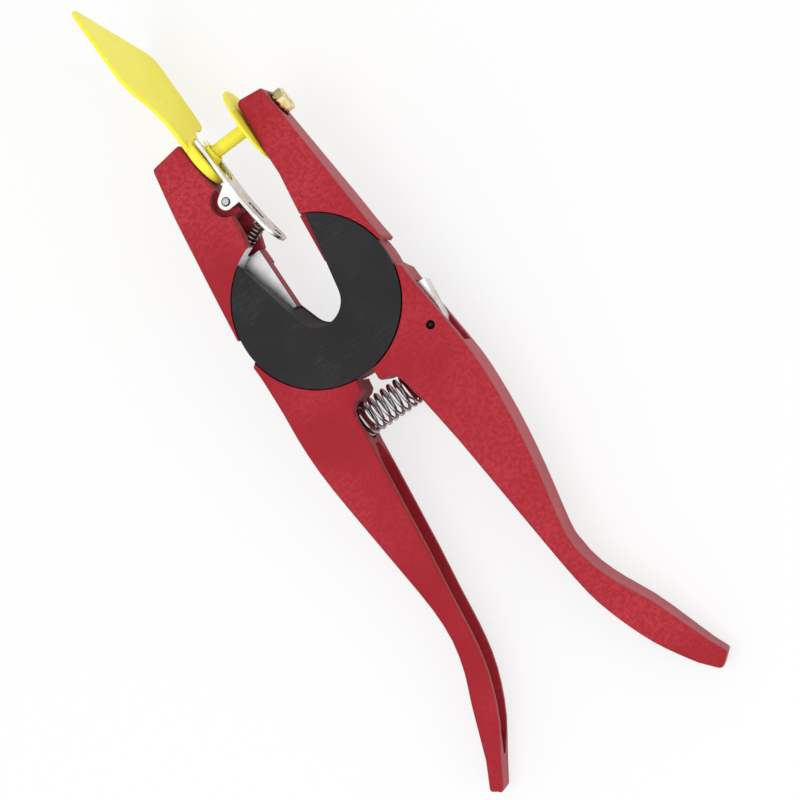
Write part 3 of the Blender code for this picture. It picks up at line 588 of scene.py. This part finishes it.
def smooth_copy(node: str, name: str, finishes: Sequence[Finishes],
                angle_deg: float = 30.0) -> bpy.types.Object:
    """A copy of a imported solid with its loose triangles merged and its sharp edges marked.

    Args:
        node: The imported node.
        name: The copy's name.
        finishes: What it is made of.
        angle_deg: Edges that turn more than this stay sharp.

    Returns:
        The new object, which replaces the node and rides on its body.
    """
    source = frame["nodes"][node]
    mesh = source.data.copy()
    mesh.name = name
    shape = bmesh.new()
    shape.from_mesh(mesh)
    bmesh.ops.remove_doubles(shape, verts=shape.verts, dist=MERGE)
    bmesh.ops.dissolve_limit(shape, angle_limit=math.radians(LEVEL_DEG), verts=shape.verts,
                             edges=shape.edges)
    for slender, level_deg in ((0.004, 4.0), (0.0004, 9.0)):
        bmesh.ops.dissolve_edges(shape, edges=splinter_edges(shape, slender, level_deg),
                                 use_verts=False)
    for edge in shape.edges:
        crumb = min((face.calc_area() for face in edge.link_faces), default=0) < CRUMB * MM ** 2
        edge.smooth = edge.calc_face_angle(math.pi) < math.radians(angle_deg) and not crumb
    shape.to_mesh(mesh)
    shape.free()
    mesh.materials.clear()
    piece = place(name, mesh)
    mesh.polygons.foreach_set("use_smooth", [True] * len(mesh.polygons))
    even_light(piece)
    for finish in finishes:
        mesh.materials.append(finish.material())
    return settle(piece, source["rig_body"], node)


def faces_of(mesh: bpy.types.Mesh) -> tuple[np.ndarray, np.ndarray]:
    """The faces' centres, in millimetres, and their normals, both in the tool's plane."""
    centre, normal = np.empty(len(mesh.polygons) * 3), np.empty(len(mesh.polygons) * 3)
    mesh.polygons.foreach_get("center", centre)
    mesh.polygons.foreach_get("normal", normal)
    return (PLANE.from_frame(centre.reshape(-1, 3)),
            normal.reshape(-1, 3) @ (PLANE.matrix()[:3, :3] / MM))


def even_light(piece: bpy.types.Object) -> None:
    """Lets large faces lead the normals of a piece, so that its flats stay flat to the light."""
    weighted = piece.modifiers.new("even_light", "WEIGHTED_NORMAL")
    weighted.keep_sharp = True
    weighted.weight = 85


def settle(piece: bpy.types.Object, body: str, *nodes: str) -> bpy.types.Object:
    """Lets a piece ride on a body and stand for the nodes named, which it hides."""
    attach(piece, body)
    if nodes:
        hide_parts(*nodes)
    LOG.info("%s on %s", piece.name, body)
    return piece


def grid_mesh(name: str, points: np.ndarray, finish: Finishes | None = None,
              capped: bool = True) -> bpy.types.Object:
    """A surface from a grid of points, whose rows are rings along the shape.

    Ring i joins ring i + 1 with one quad for each step round.

    Args:
        name: The object's name.
        points: An array of shape (rings, steps, 3) in millimetres of the tool's plane.
        finish: What it is made of.
        capped: Whether the first and last rings get an end face.

    Returns:
        The new object, smooth, with its sharp edges marked.
    """
    rings, steps, _ = points.shape
    index = np.arange(rings * steps).reshape(rings, steps)
    across = np.roll(index, -1, axis=1)
    faces = np.stack([index[:-1], across[:-1], across[1:], index[1:]], axis=-1)
    faces = faces.reshape(-1, 4).tolist()
    if capped:
        faces += [index[0, ::-1].tolist(), index[-1].tolist()]
    mesh = bpy.data.meshes.new(name)
    mesh.from_pydata(PLANE.to_frame(points.reshape(-1, 3)).tolist(), [], faces)
    shape = bmesh.new()
    shape.from_mesh(mesh)
    bmesh.ops.remove_doubles(shape, verts=shape.verts, dist=2 * MERGE)
    bmesh.ops.recalc_face_normals(shape, faces=shape.faces)
    shape.to_mesh(mesh)
    shape.free()
    mesh.shade_smooth()
    mesh.set_sharp_from_angle(angle=math.radians(38))
    if finish is not None:
        mesh.materials.append(finish.material())
    return place(name, mesh)


def circle(steps: int) -> np.ndarray:
    """The angles of evenly spaced steps round a circle."""
    return np.linspace(0, 2 * math.pi, steps, endpoint=False)


def rings(along: np.ndarray, radius: np.ndarray, start: Sequence[float],
          axis: str = "X") -> np.ndarray:
    """Rings square to an axis through `start`.

    Args:
        along: How far along the axis each ring is.
        radius: How far out each point is, an array of shape (rings, steps).
        start: Where `along` is nought.
        axis: "X" or "Z" of the tool's plane.

    Returns:
        An array of shape (rings, steps, 3).
    """
    steps = radius.shape[1]
    first, second = radius * np.cos(circle(steps)), radius * np.sin(circle(steps))
    height = np.repeat(along[:, None], steps, axis=1)
    order = {"X": (height, first, second), "Z": (first, second, height)}[axis]
    return np.stack(order, axis=-1) + np.array(start, float)


def revolve(profile: Sequence[Pair], start: Sequence[float], axis: str,
            steps: int) -> np.ndarray:
    """The rings of a turned shape, each pair of its profile being (along, radius)."""
    along, radius = np.array(profile, float).T
    return rings(along, np.repeat(radius[:, None], steps, axis=1), start, axis)


def fillet(corners: Sequence[Triple], count: int = 5) -> list[Pair]:
    """A profile whose corners are rounded: each is (along, radius, size of its round).

    A corner becomes a quadratic curve of `count` points, from `size` before it to `size` after it.
    """
    places = [np.array(value[:2], float) for value in corners]
    share = np.linspace(0, 1, count)[:, None]
    out: list[Pair] = []
    for i, (here, (*_, size)) in enumerate(zip(places, corners)):
        if size <= 0 or i in (0, len(places) - 1):
            out.append(tuple(here))
            continue
        ways = [places[i + side] - here for side in (-1, 1)]
        start, end = (here + way / np.linalg.norm(way) * min(size, np.linalg.norm(way) * 0.49)
                      for way in ways)
        curve = start * (1 - share) ** 2 + 2 * here * share * (1 - share) + end * share ** 2
        out += [tuple(point) for point in curve]
    return out


def swept_wire(path: np.ndarray, wire_r: float, sides: int) -> np.ndarray:
    """Rings of a round wire carried along a path.

    Each ring stands square to the path's way there; its first direction is the last one's with the
    part along the path taken out, so the wire isn't twisted.

    Args:
        path: Points of shape (n, 3).
        wire_r: The wire's radius.
        sides: Points round the wire.

    Returns:
        An array of shape (n, sides, 3).
    """
    way = np.gradient(path, axis=0)
    way /= np.linalg.norm(way, axis=1, keepdims=True)
    first = np.empty_like(path)
    guess = np.cross(way[0], (0.3, 0.5, 0.81))
    for i, direction in enumerate(way):
        guess = guess - direction * (guess @ direction)
        guess /= np.linalg.norm(guess)
        first[i] = guess
    second = np.cross(way, first)
    turn = circle(sides)[None, :, None]
    return path[:, None] + (first[:, None] * np.cos(turn) + second[:, None] * np.sin(turn)) * wire_r


@dataclass
class CastArms:
    """The two cast arms: coated outside, turned bare where the rings lap and seat.

    Attributes:
        lap: Half the gap between the rings.
        seat_r: Radius of the turned counterbores.
        bore_r: Radius of the rings' bores.
        slack: How far off a face may lie and still count.
        wall: Outline of the lip behind the clip's spring.
        rib: Outline of the lip between the clip's ears.
    """

    lap: float = 0.15
    seat_r: float = 30.2
    bore_r: float = 13.8
    slack: float = 0.07
    wall: tuple[Pair, ...] = ((-9.8, 42.2), (-5.3, 42.2), (-5.7, 36.0), (-7.0, 32.0),
                                             (-8.1, 28.4), (-9.8, 27.9))
    rib: tuple[Pair, ...] = ((-9.8, 44.8), (-5.2, 44.8), (-5.3, 42.0), (-9.8, 42.0))

    def lip(self, name: str, outline: Sequence[Pair], low: float,
            high: float) -> None:
        """Casts a flat lip on the clip jaw, an outline raised straight from one height to another.

        Args:
            name: The piece's name.
            outline: Its corners in the tool's plane.
            low: Its lower height.
            high: Its upper height.
        """
        ring = np.column_stack([np.array(outline), np.zeros(len(outline))])
        rise = np.array([[0, 0, low], [0, 0, high]])
        settle(grid_mesh(name, ring[None] + rise[:, None], finish=Finishes.COAT), "clip_side")

    def turned_faces(self, piece: bpy.types.Object, lap: float) -> np.ndarray:
        """Which faces are turned: flat at the lap inside the seat, or on the seat's or bore's wall.

        Args:
            piece: The arm.
            lap: Height of its lap face in the tool's plane.

        Returns:
            A mask over the mesh's polygons.
        """
        centre, normal = faces_of(piece.data)
        radius = np.hypot(centre[:, 0], centre[:, 1])
        inward = -(centre[:, 0] * normal[:, 0] + centre[:, 1] * normal[:, 1]) / np.maximum(radius, 1)
        flat = (np.abs(normal[:, 2]) > 0.99) & (radius < self.seat_r) & (
            np.abs(centre[:, 2] - lap) < self.slack)
        wall = (inward > 0.95) & ((np.abs(radius - self.seat_r) < 0.25)
                                  | (np.abs(radius - self.bore_r) < 0.2))
        return flat | wall

    def build(self) -> None:
        """Makes both arms with their coated and turned faces."""
        for node, lap in (("clip_arm", -self.lap), ("pin_arm", self.lap)):
            piece = smooth_copy(node, node + "_cast", (Finishes.COAT, Finishes.TURNED), 34.0)
            bare = self.turned_faces(piece, lap).astype(np.int32)
            piece.data.polygons.foreach_set("material_index", bare)
            piece.data.update()
        self.lip("spring_channel_wall", self.wall, -8.1, -3.9)
        self.lip("clip_pivot_rib", self.rib, -4.1, 3.6)


@dataclass
class Hub:
    """The moulded covers and the screws between them.

    Attributes:
        screws: How many screws hold them.
    """

    screws: int = 3

    def build(self) -> None:
        """Dresses the covers and the screws."""
        for node in ("front_hub_cover", "rear_hub_cover"):
            smooth_copy(node, node + "_moulded", [Finishes.BLACK])
        for number in range(1, self.screws + 1):
            smooth_copy(f"hub_screw_{number}", f"cross_screw_{number}", [Finishes.ZINC])


@dataclass
class ReturnSpring:
    """The open coil between the grips, with closed end turns ground flat on their seats.

    Attributes:
        left: Where its left end seats, along X.
        right: Where its right end seats.
        at_y: Its height along the tool.
        radius: From its axis to the wire's centre.
        wire: The wire's diameter.
        turns: Turns from end to end.
        per_turn: Points to a turn.
        closed: Share of the length that each closed end turn takes.
        phase: Where on its circle the wire starts, in radians.
    """

    left: float = -12.6
    right: float = 9.8
    at_y: float = -42.0
    radius: float = 5.3
    wire: float = 1.3
    turns: float = 8.8
    per_turn: int = 44
    closed: float = 0.07
    phase: float = 1.15

    def path(self) -> np.ndarray:
        """The wire's line: a circle's turn, carried along X slowly on the end turns."""
        share = np.linspace(0, 1, int(self.turns * self.per_turn) + 1)
        ends = np.array([0, 1 / self.turns, 1 - 1 / self.turns, 1])
        along = np.interp(share, ends, np.array([0, self.closed, 1 - self.closed, 1]))
        smooth = np.convolve(np.pad(along, 12, mode="reflect", reflect_type="odd"),
                             np.ones(25) / 25, mode="valid")
        angle = 2 * math.pi * self.turns * share + self.phase
        reach = self.right - self.left - self.wire
        return np.stack([self.left + self.wire / 2 + smooth * reach,
                         self.at_y + self.radius * np.cos(angle),
                         self.radius * np.sin(angle)], axis=1)

    def build(self) -> None:
        """Sweeps the wire and grinds both ends flat."""
        points = swept_wire(self.path(), self.wire / 2, 18)
        ground = self.wire * 0.24
        points[..., 0] = np.clip(points[..., 0], self.left + ground, self.right - ground)
        piece = grid_mesh("return_spring_coil", points, finish=Finishes.WIRE)
        ends = PLANE.to_frame(np.array([[self.left, self.at_y, 0], [self.right, self.at_y, 0]]))
        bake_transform(piece)
        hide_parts("return_spring")


@dataclass
class SpringClip:
    """The pressed clip with its rivet and the small coil under its tail.

    Attributes:
        rivet_r: The rivet's radius.
        rivet_end: How far it reaches to each side.
        coil_r: From the coil's axis to the wire's centre.
        wire: The wire's diameter.
        turns: Turns from end to end.
        foot: Where the coil seats in the jaw.
        head: Where it seats under the clip's tail.
        slot: The tail's slot: its middle along the tool, half its straight part and its half width.
        hole: The hole at the tail's end: where it is along the tool, and its radius.
    """

    rivet_r: float = 1.3
    rivet_end: float = 7.2
    coil_r: float = 2.0
    wire: float = 0.9
    turns: float = 7.0
    foot: Pair = (-12.8, 31.3)
    head: Pair = (-3.2, 34.6)
    slot: Triple = (39.4, 2.1, 1.7)
    hole: Pair = (28.6, 1.5)

    def build(self) -> None:
        """Dresses the clip, heads the rivet and winds the coil."""
        sheet = smooth_copy("clip", "pressed_clip", ())
        self.pierce(sheet)
        for finish in (Finishes.SHEET, Finishes.DARK_WIRE):
            sheet.data.materials.append(finish.material())
        end, radius = self.rivet_end, self.rivet_r
        profile = fillet([(-end, 0.02, 0), (-end, radius, 0.35), (end, radius, 0.35), (end, 0.02, 0)])
        settle(grid_mesh("clip_rivet", revolve(profile, (*PLANE.clip_pivot, 0), "Z", 40),
                         Finishes.TURNED_STEEL), "clip_side", "clip_pivot_pin")
        coil = grid_mesh("clip_spring_coil", swept_wire(self.coil_path(), self.wire / 2, 14),
                         Finishes.DARK_WIRE)
        ends = PLANE.to_frame(np.array([[*self.foot, 0], [*self.head, 0]]))
        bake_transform(coil)
        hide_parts("clip_spring")

    def pierce(self, sheet: bpy.types.Object) -> None:
        """Cuts the tail's slot through the sheet, a stadium of two half circles drawn apart, and
        gives its walls and the hole's the dark finish of a sheared edge."""
        middle, reach, half = self.slot
        turn = circle(40)
        along = middle + reach * np.sign(np.round(np.cos(turn), 6)) + half * np.cos(turn)
        ring = np.stack([np.zeros_like(turn), along, half * np.sin(turn)], axis=1)
        punch = grid_mesh("slot_punch", ring[None] + np.array([[[-8.0, 0, 0]], [[4.0, 0, 0]]]))
        sheet.modifiers.clear()
        cut = sheet.modifiers.new("slot", "BOOLEAN")
        cut.operation, cut.object = "DIFFERENCE", punch
        bpy.context.view_layer.update()
        pierced = sheet.evaluated_get(bpy.context.evaluated_depsgraph_get())
        mesh = bpy.data.meshes.new_from_object(pierced)
        sheet.modifiers.clear()
        bpy.data.objects.remove(punch)
        mesh.name = sheet.data.name
        sheet.data = mesh
        mesh.materials.clear()
        mesh.shade_smooth()
        mesh.set_sharp_from_angle(angle=math.radians(30))
        even_light(sheet)
        centre, normal = faces_of(mesh)
        to_slot = np.hypot(np.maximum(np.abs(centre[:, 1] - middle) - reach, 0), centre[:, 2])
        to_hole = np.hypot(centre[:, 1] - self.hole[0], centre[:, 2])
        sheared = (np.abs(normal[:, 0]) < 0.5) & ((to_slot < half + 0.1)
                                                  | (to_hole < self.hole[1] + 0.1))
        mesh.polygons.foreach_set("material_index", sheared.astype(np.int32))

    def coil_path(self) -> np.ndarray:
        """The coil's line: circles square to the way from foot to head, closer on the end turns."""
        share = np.linspace(0, 1, int(self.turns * 36) + 1)
        way = np.subtract(self.head, self.foot)
        reach = np.linalg.norm(way)
        way /= reach
        along = self.wire / 2 + np.interp(share, (0, 0.14, 0.86, 1), (0, 0.1, 0.9, 1)) * (
            reach - self.wire)
        angle = 2 * math.pi * self.turns * share
        across = self.coil_r * np.cos(angle)
        return np.stack([self.foot[0] + along * way[0] - across * way[1],
                         self.foot[1] + along * way[1] + across * way[0],
                         self.coil_r * np.sin(angle)], axis=1)


@dataclass
class EarTag:
    """The two halves of the tag.

    The flag is worked out flat: x through its thickness, v up the flag from the collar's axis and w
    across it. Then it is turned and leaned about the collar and carried to the jaw.

    Attributes:
        pin_y: Where the stem's axis is along the tool.
        stem_r: The stem's radius.
        stem_from: Where the stem starts along X.
        point: Radius of the hollow for the hard point, and where that hollow ends.
        face: Where the button's front face is along X.
        thick: The button's thickness.
        radius: The button's radius.
        bore_r: Radius of the hollow that the tool's pin fills.
        flag_at: Where the collar's axis meets the flag's face.
        lean_deg: How far the flag's face is turned from the jaw's length.
        turn_deg: How far the flag is turned about the collar.
        sheet: The flag's thickness.
        width: The flag's width.
        top: The flag's height over the collar's axis.
        shoulder: Where the neck starts below the flag.
        neck: The neck's half width.
        pad: The pad's radius, and its face and back through the thickness.
        collar: The collar's radius, bore and mouth.
    """

    pin_y: float = 64.6
    stem_r: float = 2.5
    stem_from: float = -2.6
    point: Pair = (2.28, 0.1)
    face: float = 12.7
    thick: float = 1.1
    radius: float = 14.6
    bore_r: float = 1.5
    flag_at: Pair = (-7.0, 64.2)
    lean_deg: float = 5.3
    turn_deg: float = 14.5
    sheet: float = 1.5
    width: float = 58.0
    top: float = 66.0
    shoulder: float = 26.5
    neck: float = 9.4
    pad: Triple = (9.55, 1.9, -1.58)
    collar: Triple = (3.9, 3.0, 5.0)

    def placed(self, points: np.ndarray) -> np.ndarray:
        """Turns points of the flat flag about X, leans them about Z and carries them to the jaw."""
        turn = Matrix.Rotation(math.radians(self.lean_deg), 3, "Z") @ Matrix.Rotation(
            math.radians(-self.turn_deg), 3, "X")
        return points @ np.array(turn).T + np.array([*self.flag_at, 0.0])

    def outline(self) -> np.ndarray:
        """The flag's outline as (v, w): one side with rounded corners down to the pad, where it
        bends in above the bore, and the same side mirrored back up."""
        half, neck = self.width / 2, self.neck
        side = fillet([(self.top, 0, 0), (self.top, half, 6.0), (self.shoulder, half, 8.5),
                       (self.shoulder - 5.4, neck + 5.6, 5.0), (self.shoulder - 14.0, neck, 5.0),
                       (1.0, neck, 2.0), (0.5, 5.0, 2.0), (5.0, 0, 0)], 9)
        way = np.array(side)
        return np.concatenate([way, way[-2:0:-1] * (1, -1)])

    def plate(self) -> np.ndarray:
        """The flag as rings: a point of the outline is drawn towards the middle by an inset, and the
        inset and the height follow a half circle of the flag's thickness round the edge."""
        line = self.outline()
        middle = np.array([self.top * 0.55, 0.0])
        spoke = line - middle
        length = np.linalg.norm(spoke, axis=1)
        bend = self.sheet / 2
        turn = np.linspace(-math.pi / 2, math.pi / 2, 9)
        flat = np.array([99.0, 12.0, 4.0, 1.6])
        inset = np.concatenate([flat, bend * (1 - np.cos(turn)) * 0.8, flat[::-1]])
        height = np.concatenate([np.full(4, -bend), bend * np.sin(turn), np.full(4, bend)]) - bend
        share = np.maximum(1 - inset[:, None] / length, 0.02)
        place = middle + spoke * share[..., None]
        return self.placed(np.stack([np.broadcast_to(height[:, None], share.shape),
                                     place[..., 0], place[..., 1]], axis=-1))

    def pad_and_collar(self) -> np.ndarray:
        """The round pad with its collar and bore: one closed profile turned about the collar's axis."""
        pad_r, face, back = self.pad
        collar_r, bore, mouth = self.collar
        profile = fillet([(back, bore, 0), (back, pad_r, 1.0), (face, pad_r - 0.2, 1.5),
                          (face, collar_r, 0.8), (mouth, collar_r, 1.3), (mouth, bore, 0.3),
                          (back, bore, 0)], 7)
        return self.placed(revolve(profile, (0, 0, 0), "X", 80))

    def button(self) -> np.ndarray:
        """The button, its foot and its hollow stem: one closed profile turned about the stem."""
        back = self.face + self.thick
        hollow_r, hollow_to = self.point
        profile = fillet([
            (self.stem_from, hollow_r, 0), (self.stem_from, self.stem_r, 0.15),
            (self.face - 2.0, self.stem_r, 1.0), (self.face - 0.5, self.stem_r + 1.3, 1.2),
            (self.face - 0.15, self.radius - 2.2, 0.8), (self.face + 0.05, self.radius - 1.4, 0.4),
            (self.face + 0.25, self.radius, 0.35), (back, self.radius - 0.05, 0.4),
            (back, self.bore_r, 0), (hollow_to, self.bore_r, 0), (hollow_to, hollow_r, 0),
            (self.stem_from, hollow_r, 0)], 6)
        return revolve(profile, (0, self.pin_y, 0), "X", 96)

    def build(self) -> None:
        """Makes the flag with its pad and collar, the button with its stem, and the hard point."""
        settle(grid_mesh("tag_flag", self.plate(), Finishes.TAG), "clip_side", "female_tag")
        settle(grid_mesh("tag_collar", self.pad_and_collar(), Finishes.TAG, False),
               "clip_side", "female_tag")
        settle(grid_mesh("tag_button", self.button(), Finishes.TAG, False),
               "pin_side", "male_button")
        smooth_copy("stem_point", "stem_point_steel", [Finishes.TURNED_STEEL])


@dataclass
class PinFixing:
    """The tag pin's threaded stud with its washer and hexagon nut.

    Attributes:
        pin_y: Where the pin's axis is along the tool.
        pin_r: The pin's radius inside the button's stem.
        point: Where its tip is along X.
        collar: Where its collar starts and ends along X, and its radius.
        stud_r: The thread's outer radius.
        pitch: The thread's pitch.
        stud_end: Where the stud ends along X.
        washer: Where the washer starts and ends along X, and its radius.
        nut: Where the nut starts and ends along X.
        flats: The nut's width across its flats.
    """

    pin_y: float = 64.6
    pin_r: float = 1.2
    point: float = 2.7
    collar: Triple = (14.1, 15.7, 3.6)
    stud_r: float = 2.4
    pitch: float = 0.8
    stud_end: float = 29.7
    washer: Triple = (24.9, 25.8, 4.8)
    nut: Pair = (25.95, 29.95)
    flats: float = 8.0

    def stud(self) -> np.ndarray:
        """The pin turned with its collar, then its thread: the radius dips by the distance to the
        nearest crest of a helix, so the crest climbs one pitch for each turn."""
        first, last, collar_r = self.collar
        plain = fillet([(self.point, 0.05, 0), (self.point, 0.5, 0.1),
                        (self.point + 1.2, self.pin_r, 0.3), (first, self.pin_r, 0.1),
                        (first, collar_r, 0.25), (last, collar_r, 0.25),
                        (last, self.stud_r, 0.05)], 4)
        steps, axis = 48, (0, self.pin_y, 0)
        along = np.arange(last + 0.3, self.stud_end, 0.09)
        phase = (along[:, None] / self.pitch - circle(steps) / (2 * math.pi)) % 1.0
        depth = 0.36 * (1 - np.abs(2 * phase - 1)) * np.clip((along[:, None] - last - 0.6) / 0.5, 0, 1)
        radius = np.minimum(self.stud_r - depth, self.stud_r - 0.5
                            + np.clip(self.stud_end - along[:, None], 0, 0.5))
        close = [(self.stud_end, self.stud_r - 0.6), (self.stud_end, 0.05)]
        return np.concatenate([revolve(plain, axis, "X", steps), rings(along, radius, axis),
                               revolve(close, axis, "X", steps)])

    def hexagon(self) -> np.ndarray:
        """The nut: at each angle the radius is the flats' own, cut down to a 30 degree cone outside,
        and the hole runs back through it with a countersink."""
        near, far = self.nut
        steps, axis = 96, (0, self.pin_y, 0)
        sector = (circle(steps) + math.pi / 6) % (math.pi / 3) - math.pi / 6
        flat = self.flats / 2 / np.cos(sector)
        levels = np.concatenate([[near], np.linspace(near + 0.1, far - 0.9, 3),
                                 np.linspace(far - 0.8, far, 9)])
        cone = self.flats / 2 - 0.12 + (far - levels) * math.tan(math.radians(60))
        outer = np.minimum(flat[None, :], np.minimum(cone, 99)[:, None])
        outer[0] -= 0.08
        bore = self.stud_r + 0.05
        front = rings(levels, outer, axis)
        back = [(far, bore + 0.45), (far - 0.35, bore), (near + 0.35, bore), (near, bore + 0.45)]
        return np.concatenate([front, revolve(back, axis, "X", steps), front[:1]])

    def build(self) -> None:
        """Makes the pin, the washer and the nut."""
        settle(grid_mesh("tag_pin_threaded", self.stud(), Finishes.TURNED_STEEL),
               "pin_side", "tag_pin")
        near, far, radius = self.washer
        bore = self.stud_r + 0.3
        profile = fillet([(near, bore, 0), (near, radius, 0.15), (far, radius, 0.2), (far, bore, 0.1),
                          (near, bore, 0)], 4)
        settle(grid_mesh("pin_washer_plate", revolve(profile, (0, self.pin_y, 0), "X", 72),
                         Finishes.OILED, False), "pin_side", "pin_washer")
        settle(grid_mesh("pin_nut_hexagon", self.hexagon(), Finishes.PLATED, False),
               "pin_side", "pin_nut")


@dataclass
class CatchLever:
    """The stamped lever in the grip's slot, its roll pin and its small spring.

    Attributes:
        at: Where the roll pin is in the tool's plane.
        pin_r: The roll pin's radius.
        pin_end: How far it reaches to each side.
    """

    at: Pair = (28.0, -29.2)
    pin_r: float = 1.3
    pin_end: float = 8.9

    def build(self) -> None:
        """Dresses the lever and its spring, and turns the pin with slightly domed ends."""
        smooth_copy("lock_lever", "stamped_lever", [Finishes.SHEET])
        end = self.pin_end
        profile = fillet([(-end, 0.02, 0), (-end, 0.5, 0.2), (-end + 0.5, self.pin_r, 0.3),
                          (end - 0.5, self.pin_r, 0.3), (end, 0.5, 0.2), (end, 0.02, 0)], 4)
        settle(grid_mesh("lever_roll_pin", revolve(profile, (*self.at, 0), "Z", 36),
                         Finishes.OXIDE), "clip_side", "lever_pin")
        smooth_copy("lever_spring", "lever_spring_coil", [Finishes.DARK_WIRE], 60.0)


PICTURE = 800.0  # The picture's side, in pixels.
SENSOR = 36.0  # The camera's sensor, in millimetres.
FLOOR_SIDE = 3.0  # Half the floor's side, in metres.
FLOOR_DROP = 0.0001  # How far the floor lies below the frame's origin, in metres.


@dataclass
class Studio:
    """The pale floor, the soft lamps and the camera of the photograph's view.

    Attributes:
        roll: Cosine and sine of the tool's turn in the picture.
        tilt_deg: How far the camera stands round from the tool's front.
        distance: From the front cover's face, in millimetres.
        focal_px: Focal length in pixels of the picture.
        centre_px: Where the hub's axis meets the front cover in the picture.
        face: Height of the front cover's face in the tool's plane.
        white_share: How much of the floor's colour is plain white to the camera.
        sky: The surround's strength as diffuse light, and to gloss at the horizon and overhead.
    """

    roll: Pair = (0.8192, 0.5736)
    tilt_deg: float = 16.3
    distance: float = 650.0
    focal_px: float = 1928.6
    centre_px: Pair = (315.0, 301.0)
    face: float = 9.5
    white_share: float = 0.72
    sky: Triple = (0.74, 0.08, 1.2)

    def camera(self) -> None:
        """Places the camera so that the tool's plane turns and leans as in the photograph."""
        cr, sr = self.roll
        ct, st = math.cos(math.radians(self.tilt_deg)), math.sin(math.radians(self.tilt_deg))
        axes = np.array([[cr * ct, -sr * ct, -st], [sr, cr, 0], [cr * st, -sr * st, ct]])
        world = axes @ (PLANE.matrix()[:3, :3] / MM).T
        lens = bpy.data.cameras.new("camera")
        lens.sensor_width = SENSOR
        lens.lens = self.focal_px / PICTURE * SENSOR
        lens.shift_x = 0.5 - self.centre_px[0] / PICTURE
        lens.shift_y = self.centre_px[1] / PICTURE - 0.5
        lens.clip_start, lens.clip_end = 0.05, 20.0
        camera = place("camera", lens)
        at = PLANE.to_frame(np.array([[0, 0, self.face]]))[0] + world[2] * self.distance * MM
        placed = np.eye(4)
        placed[:3, :3], placed[:3, 3] = world.T, at
        camera.matrix_world = Matrix(placed.tolist())
        bpy.context.scene.camera = camera

    def lamp(self, name: str, away: Triple, size: float, power: float) -> None:
        """Hangs a soft square lamp that looks at the tool.

        Args:
            name: The lamp's name.
            away: Where it hangs, in metres.
            size: Its side, in metres.
            power: Its strength, in watts.
        """
        light = bpy.data.lights.new(name, "AREA")
        light.size, light.energy = size, power
        lamp = place(name, light)
        lamp.location = away
        lamp.rotation_euler = (-Vector(away)).to_track_quat("-Z", "Y").to_euler()
        lamp.visible_glossy = False

    def backdrop(self) -> None:
        """A pale floor and a white surround that lamps, gloss and the camera see as a studio."""
        world = bpy.data.worlds.new("studio")
        bpy.context.scene.world = world
        world.use_nodes = True
        nodes = Nodes(world.node_tree)
        sky = world.node_tree.nodes["Background"]
        path = nodes.add("ShaderNodeLightPath")
        diffuse, horizon, overhead = self.sky
        way = nodes.add("ShaderNodeSeparateXYZ", {0: nodes.add("ShaderNodeTexCoord").outputs[0]})
        gloss = nodes.spread(way.outputs["Z"], 0.10, 0.80, horizon, overhead)
        strength = nodes.add("ShaderNodeMix", {0: path.outputs["Is Glossy Ray"], 2: diffuse,
                                               3: gloss}, data_type="FLOAT")
        strength = nodes.maths("MAXIMUM", strength.outputs[0], path.outputs["Is Camera Ray"])
        nodes.feed(sky, {"Color": (1, 1, 1, 1), "Strength": strength})
        floor = bpy.data.meshes.new("floor")
        floor.from_pydata([(FLOOR_SIDE * x, FLOOR_SIDE * y, -FLOOR_DROP) for x, y in (
            (-1, -1), (1, -1), (1, 1), (-1, 1))], [], [(0, 1, 2, 3)])
        pale = bpy.data.materials.new("pale_floor")
        pale.use_nodes = True
        nodes = Nodes(pale.node_tree)
        shader = pale.node_tree.nodes["Principled BSDF"]
        nodes.feed(shader, {"Base Color": (0.90, 0.90, 0.90, 1), "Roughness": 0.9,
                            "Specular IOR Level": 0.1})
        white = nodes.add("ShaderNodeEmission", {"Color": (1, 1, 1, 1), "Strength": 1.0})
        path = nodes.add("ShaderNodeLightPath")
        seen = nodes.maths("MULTIPLY", path.outputs["Is Camera Ray"], self.white_share)
        lit = nodes.add("ShaderNodeMixShader", {0: seen, 1: shader.outputs[0],
                                                2: white.outputs[0]})
        nodes.feed(pale.node_tree.nodes["Material Output"], {"Surface": lit.outputs[0]})
        floor.materials.append(pale)
        laid = place("floor", floor)

    def build(self) -> None:
        """Sets up the view, the light and the floor."""
        bpy.context.scene.view_settings.view_transform = "Standard"
        self.camera()
        self.backdrop()
        self.lamp("key", (-0.30, -0.22, 1.3), 0.7, 5.6)
        self.lamp("fill", (0.8, -0.8, 0.9), 0.9, 3.4)


def main() -> None:
    """Builds every piece in order, then the studio."""
    logging.basicConfig(level=logging.INFO, format="%(name)s: %(message)s")
    for assembly in (CastArms(), Hub(), ReturnSpring(), SpringClip(), EarTag(), PinFixing(),
                     CatchLever(), Studio()):
        assembly.build()
        LOG.info("built %s", type(assembly).__name__)


if __name__ == "__main__":
    main()
